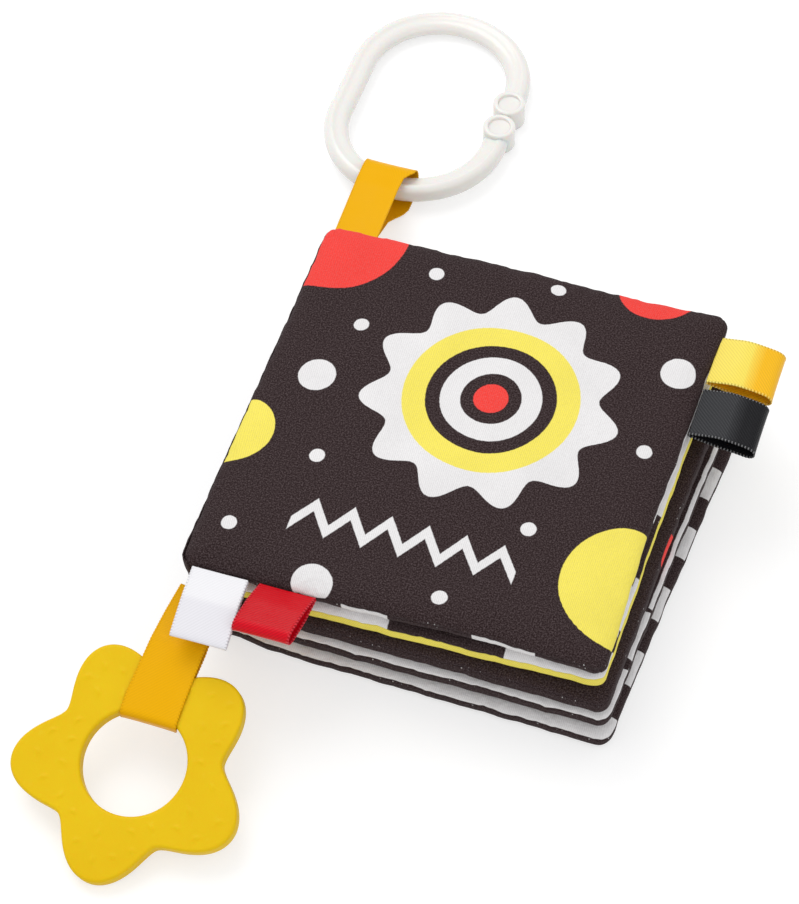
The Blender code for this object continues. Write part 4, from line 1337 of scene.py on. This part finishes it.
def link_section():
    """Return the band's section: a rounded bar with a shallow step along both faces."""
    points = []
    for index in range(LINK_SECTION_POINTS):
        angle = 2 * math.pi * index / LINK_SECTION_POINTS
        cosine, sine = math.cos(angle), math.sin(angle)
        wide = math.copysign(abs(cosine) ** (2 / LINK_POWER), cosine)
        high = math.copysign(abs(sine) ** (2 / LINK_POWER), sine)
        step = 1.0 / (1.0 + math.exp((wide - LINK_STEP_SHARE) * LINK_STEP_STEEPNESS))
        drop = LINK_STEP_DEPTH * step * min(abs(high) * LINK_STEP_FADE, 1.0)
        points.append((wide * LINK_BAND_WIDTH / 2,
                       high * LINK_BAND_HEIGHT / 2 - math.copysign(drop, high)))
    return points


def band_mesh():
    """Return the link's band, from one socket round to the other, about the link's centre."""
    bend = (LINK_WIDTH - LINK_BAND_WIDTH) / 2
    straight = (LINK_LENGTH - LINK_WIDTH) / 2
    section = link_section()
    stations = [(0.0, SOCKET_RADIUS)]
    for start, centre in ((0.0, straight), (180.0, -straight)):
        for step in range(LINK_ARC_STEPS + 1):
            stations.append((start + 180.0 * step / LINK_ARC_STEPS, centre))
    stations.append((360.0, -SOCKET_RADIUS))
    points = []
    for degrees, centre in stations:
        angle = math.radians(degrees)
        cosine, sine = math.cos(angle), math.sin(angle)
        for wide, high in section:
            reach = bend + wide
            points.append((reach * cosine, centre + reach * sine, high))
    return points, closed_tube(len(points), len(section))


def quarter(x, y, radius, start, steps, way=1):
    """Return the points of a quarter turn, from a start in degrees, one way or the other."""
    turns = [math.radians(start + way * 90.0 * step / steps) for step in range(steps + 1)]
    return [(x + radius * math.cos(turn), y + radius * math.sin(turn)) for turn in turns]


def ring_points(x, y, profile):
    """Return rings of points about an upright axis, one for each radius and height."""
    turns = [2 * math.pi * side / SOCKET_SIDES for side in range(SOCKET_SIDES)]
    return [(x + radius * math.cos(turn), y + radius * math.sin(turn), height)
            for radius, height in profile for turn in turns]


def socket_mesh(x, y):
    """Return one round socket: a barrel with soft rims and a shallow dish in its top."""
    half, soft, lip, cove = SOCKET_HEIGHT / 2, SOCKET_ROUND, SOCKET_LIP, SOCKET_COVE
    floor = half - SOCKET_HOLE_DEPTH
    profile = [
        (0.0, -half),
        *quarter(SOCKET_RADIUS - soft, soft - half, soft, -90.0, 6),
        *quarter(SOCKET_RADIUS - soft, half - soft, soft, 0.0, 6),
        *quarter(SOCKET_HOLE_RADIUS + lip, half - lip, lip, 90.0, 5),
        *quarter(SOCKET_HOLE_RADIUS - cove, floor + cove, cove, 0.0, 3, -1),
        (0.0, floor),
    ]
    points = ring_points(x, y, profile)
    return points, tube_faces(len(points), SOCKET_SIDES)


def carved_band(middles):
    """Return the band's points and faces, cut away where the sockets stand."""
    items = [show("link_ring_form", make_mesh("link_ring_form", *band_mesh()))]
    radius = SOCKET_RADIUS - SOCKET_LIP
    profile = ((radius, -SOCKET_HEIGHT), (radius, SOCKET_HEIGHT))
    faces = closed_tube(2 * SOCKET_SIDES, SOCKET_SIDES)
    for x, y in middles:
        space = make_mesh("socket_space", ring_points(x, y, profile), faces)
        items.append(show("socket_space", space))
        cut = items[0].modifiers.new("socket_space", "BOOLEAN")
        cut.operation = "DIFFERENCE"
        cut.solver = "EXACT"
        cut.object = items[-1]
    bpy.context.view_layer.update()
    carved = items[0].evaluated_get(bpy.context.evaluated_depsgraph_get())
    mesh = bpy.data.meshes.new_from_object(carved)
    for item in items:
        bpy.data.objects.remove(item)
    points = np.array([vertex.co for vertex in mesh.vertices])
    return points, [list(face.vertices) for face in mesh.polygons]


def make_link():
    """Make the split link ring from its band and its two sockets."""
    spacing = SOCKET_RADIUS + SOCKET_SPLIT / 2
    middles = [((LINK_WIDTH - LINK_BAND_WIDTH) / 2, side * spacing) for side in (1, -1)]
    points, faces = carved_band(middles)
    for x, y in middles:
        own, own_faces = socket_mesh(x, y)
        faces += [[index + len(points) for index in face] for face in own_faces]
        points = np.concatenate([points, own])
    to_centre = LINK_LENGTH / 2 - LINK_EDGE_TO_AXIS
    far_band = LINK_LENGTH - LINK_EDGE_TO_AXIS - LINK_BAND_WIDTH / 2
    tilt = math.asin((LINK_LOOP_HEIGHT - LINK_BAND_HEIGHT / 2 - FLOOR_GAP) / far_band)
    matrix = Matrix.Translation((LINK_X, LINK_LOOP_Y, LINK_LOOP_HEIGHT))
    matrix = matrix @ Matrix.Rotation(-tilt, 4, "X") @ Matrix.Translation((0.0, to_centre, 0.0))
    mesh = make_mesh("link_ring_form", moved(points, matrix), faces)
    weld(mesh)
    mesh.set_sharp_from_angle(angle=LINK_SHARP_ANGLE)
    add_piece("link_ring", mesh, link_finish(), "link_ring")


def weld(mesh):
    """Join points that coincide, so that each socket's middle is one point."""
    work = bmesh.new()
    work.from_mesh(mesh)
    bmesh.ops.remove_doubles(work, verts=work.verts, dist=MM * MM)
    bmesh.ops.recalc_face_normals(work, faces=work.faces)
    work.to_mesh(mesh)
    work.free()
    mesh.shade_smooth()


def teether_radius(angle):
    """Return how far the flower's outline is from its centre."""
    wave = (1.0 + np.cos(TEETHER_LOBES * angle)) / 2
    depth = TEETHER_LOBE_RADIUS - TEETHER_VALLEY_RADIUS
    return TEETHER_VALLEY_RADIUS + depth * wave**TEETHER_LOBE_POWER


def teether_height():
    """Return the height of the flower's centre when its lowest lobe touches the floor."""
    flat_reach = TEETHER_LOBE_RADIUS - TEETHER_EDGE
    rise = flat_reach * math.sin(TEETHER_TILT) + TEETHER_THICKNESS / 2 * math.cos(TEETHER_TILT)
    return rise + FLOOR_GAP


def bump_places():
    """Return the places and turns of the small ridges on the flower, well apart."""
    draw = np.random.default_rng(BUMP_SEED)
    places = []
    for _ in range(BUMP_TRIES):
        angle = draw.uniform(0.0, 2 * math.pi)
        inner = TEETHER_HOLE_RADIUS + BUMP_MARGIN
        outer = float(teether_radius(angle)) - BUMP_MARGIN
        radius = draw.uniform(inner, max(inner, outer))
        spot = np.array([radius * math.cos(angle), radius * math.sin(angle)])
        clear = all(np.hypot(*(spot - other[0])) > BUMP_SPACING for other in places)
        if outer > inner and clear:
            places.append((spot, draw.uniform(0.0, math.pi)))
    return places


def make_teether():
    """Make the flower teether with its rounded edges and small ridges."""
    half, soft = TEETHER_THICKNESS / 2, TEETHER_EDGE
    angle = np.arange(TEETHER_STEPS) * 2 * math.pi / TEETHER_STEPS
    rim = teether_radius(angle)
    hole = np.full_like(rim, TEETHER_HOLE_RADIUS)
    rows = []
    for step in range(TEETHER_EDGE_STEPS):
        turn = math.pi / 2 * step / TEETHER_EDGE_STEPS
        rows.append((hole + soft * (1 - math.cos(turn)), half - soft * (1 - math.sin(turn))))
    for step in range(TEETHER_ROWS + 1):
        share = step / TEETHER_ROWS
        rows.append(((hole + soft) * (1 - share) + (rim - soft) * share, half))
    for step in range(TEETHER_EDGE_STEPS):
        turn = math.pi / 2 * (1 - (step + 1) / TEETHER_EDGE_STEPS)
        rows.append((rim - soft * (1 - math.cos(turn)), half - soft * (1 - math.sin(turn))))
    upper = [np.stack([r * np.cos(angle), r * np.sin(angle), np.broadcast_to(h, r.shape)], -1)
             for r, h in rows]
    lower = [ring * np.array([1.0, 1.0, -1.0]) for ring in reversed(upper)]
    rings = np.array(upper + lower)
    flat = np.abs(np.abs(rings[..., 2]) - half) < MM * MM
    for spot, turn in bump_places():
        away = rings[..., :2] - spot
        along = away[..., 0] * math.cos(turn) + away[..., 1] * math.sin(turn)
        across = away[..., 1] * math.cos(turn) - away[..., 0] * math.sin(turn)
        across = across - along**2 / (4 * BUMP_LENGTH)
        bell = np.exp(-((along / BUMP_LENGTH) ** 2) - (across / BUMP_WIDTH) ** 2)
        rings[..., 2] += np.where(flat, np.sign(rings[..., 2]) * BUMP_HEIGHT * bell, 0.0)
    around, steps = rings.shape[:2]
    index = np.arange(around * steps).reshape(around, steps)
    down = np.roll(index, -1, axis=0)
    faces = quads(index, np.roll(index, -1, axis=1), np.roll(down, -1, axis=1), down)
    matrix = Matrix.Translation((TEETHER_X, TEETHER_Y, teether_height()))
    matrix = matrix @ Matrix.Rotation(TEETHER_TILT, 4, "X")
    matrix = matrix @ Matrix.Rotation(TEETHER_TURN, 4, "Z")
    mesh = make_mesh("flower_teether_form", moved(rings.reshape(-1, 3), matrix), faces)
    volume_side(mesh)
    add_piece("flower_teether", mesh, teether_finish(), "flower_teether")


def make_camera():
    """Place the camera at the photograph's angle."""
    sine, cosine = math.sin(CAMERA_AZIMUTH), math.cos(CAMERA_AZIMUTH)
    back = Vector((sine * math.cos(CAMERA_ELEVATION), -cosine * math.cos(CAMERA_ELEVATION),
                   math.sin(CAMERA_ELEVATION)))
    level = Vector((cosine, sine, 0.0))
    rise = back.cross(level)
    right = math.cos(CAMERA_ROLL) * level + math.sin(CAMERA_ROLL) * rise
    above = -math.sin(CAMERA_ROLL) * level + math.cos(CAMERA_ROLL) * rise
    place = CAMERA_TARGET + back * CAMERA_DISTANCE + right * CAMERA_SIDE + above * CAMERA_RISE
    data = bpy.data.cameras.new("camera")
    data.lens = CAMERA_LENS
    data.sensor_width = CAMERA_SENSOR
    data.clip_start = CAMERA_NEAR
    camera = show("camera", data)
    axes = Matrix((right, above, back)).transposed()
    camera.matrix_world = Matrix.Translation(place) @ axes.to_4x4()
    bpy.context.scene.camera = camera


def add_lamp(name, place, size, watts):
    """Add a soft square lamp that faces the book."""
    data = bpy.data.lights.new(name, "AREA")
    data.shape = "SQUARE"
    data.size = size
    data.energy = watts
    lamp = show(name, data)
    lamp.location = place
    lamp.rotation_euler = Vector(place).to_track_quat("Z", "Y").to_euler()


def make_floor():
    """Make the white floor, which glows a little where it is seen."""
    corners = ((-1, -1), (1, -1), (1, 1), (-1, 1))
    points = [(x * FLOOR_REACH, y * FLOOR_REACH, 0.0) for x, y in corners]
    mesh = make_mesh("floor", points, [(0, 1, 2, 3)])
    floor = show("floor", mesh)
    finish = Finish("floor_paper", 0.9, {"Specular IOR Level": 0.0, "Emission Color": WHITE})
    path = finish.node("LightPath")
    seen = finish.math("MAXIMUM", path.outputs["Is Camera Ray"], path.outputs["Is Glossy Ray"])
    glow = finish.math("MULTIPLY", seen, FLOOR_GLOW)
    finish.put(finish.shader.inputs["Emission Strength"], glow)
    mesh.materials.append(finish.finish(finish.mix(seen, FLOOR_BOUNCE, FLOOR_SEEN)))


def make_light():
    """Make the plain studio light: a pale sky, white to the camera, and two soft lamps."""
    world = bpy.data.worlds.new("studio")
    bpy.context.scene.world = world
    world.use_nodes = True
    tree = world.node_tree
    path = tree.nodes.new("ShaderNodeLightPath")
    lit = tree.nodes.new("ShaderNodeMix")
    lit.data_type = "RGBA"
    lit.inputs[6].default_value = SKY
    lit.inputs[7].default_value = WHITE
    tree.links.new(path.outputs["Is Camera Ray"], lit.inputs[0])
    tree.links.new(lit.outputs[2], tree.nodes["Background"].inputs["Color"])
    for lamp in LAMPS:
        add_lamp(*lamp)
    bpy.context.scene.view_settings.view_transform = "Standard"


make_camera()
make_floor()
make_light()
make_leaves()
make_spine()
make_tags()
amber = ribbon_finish("amber")
make_hanger(amber)
make_teether_ribbon(amber)
make_link()
make_teether()
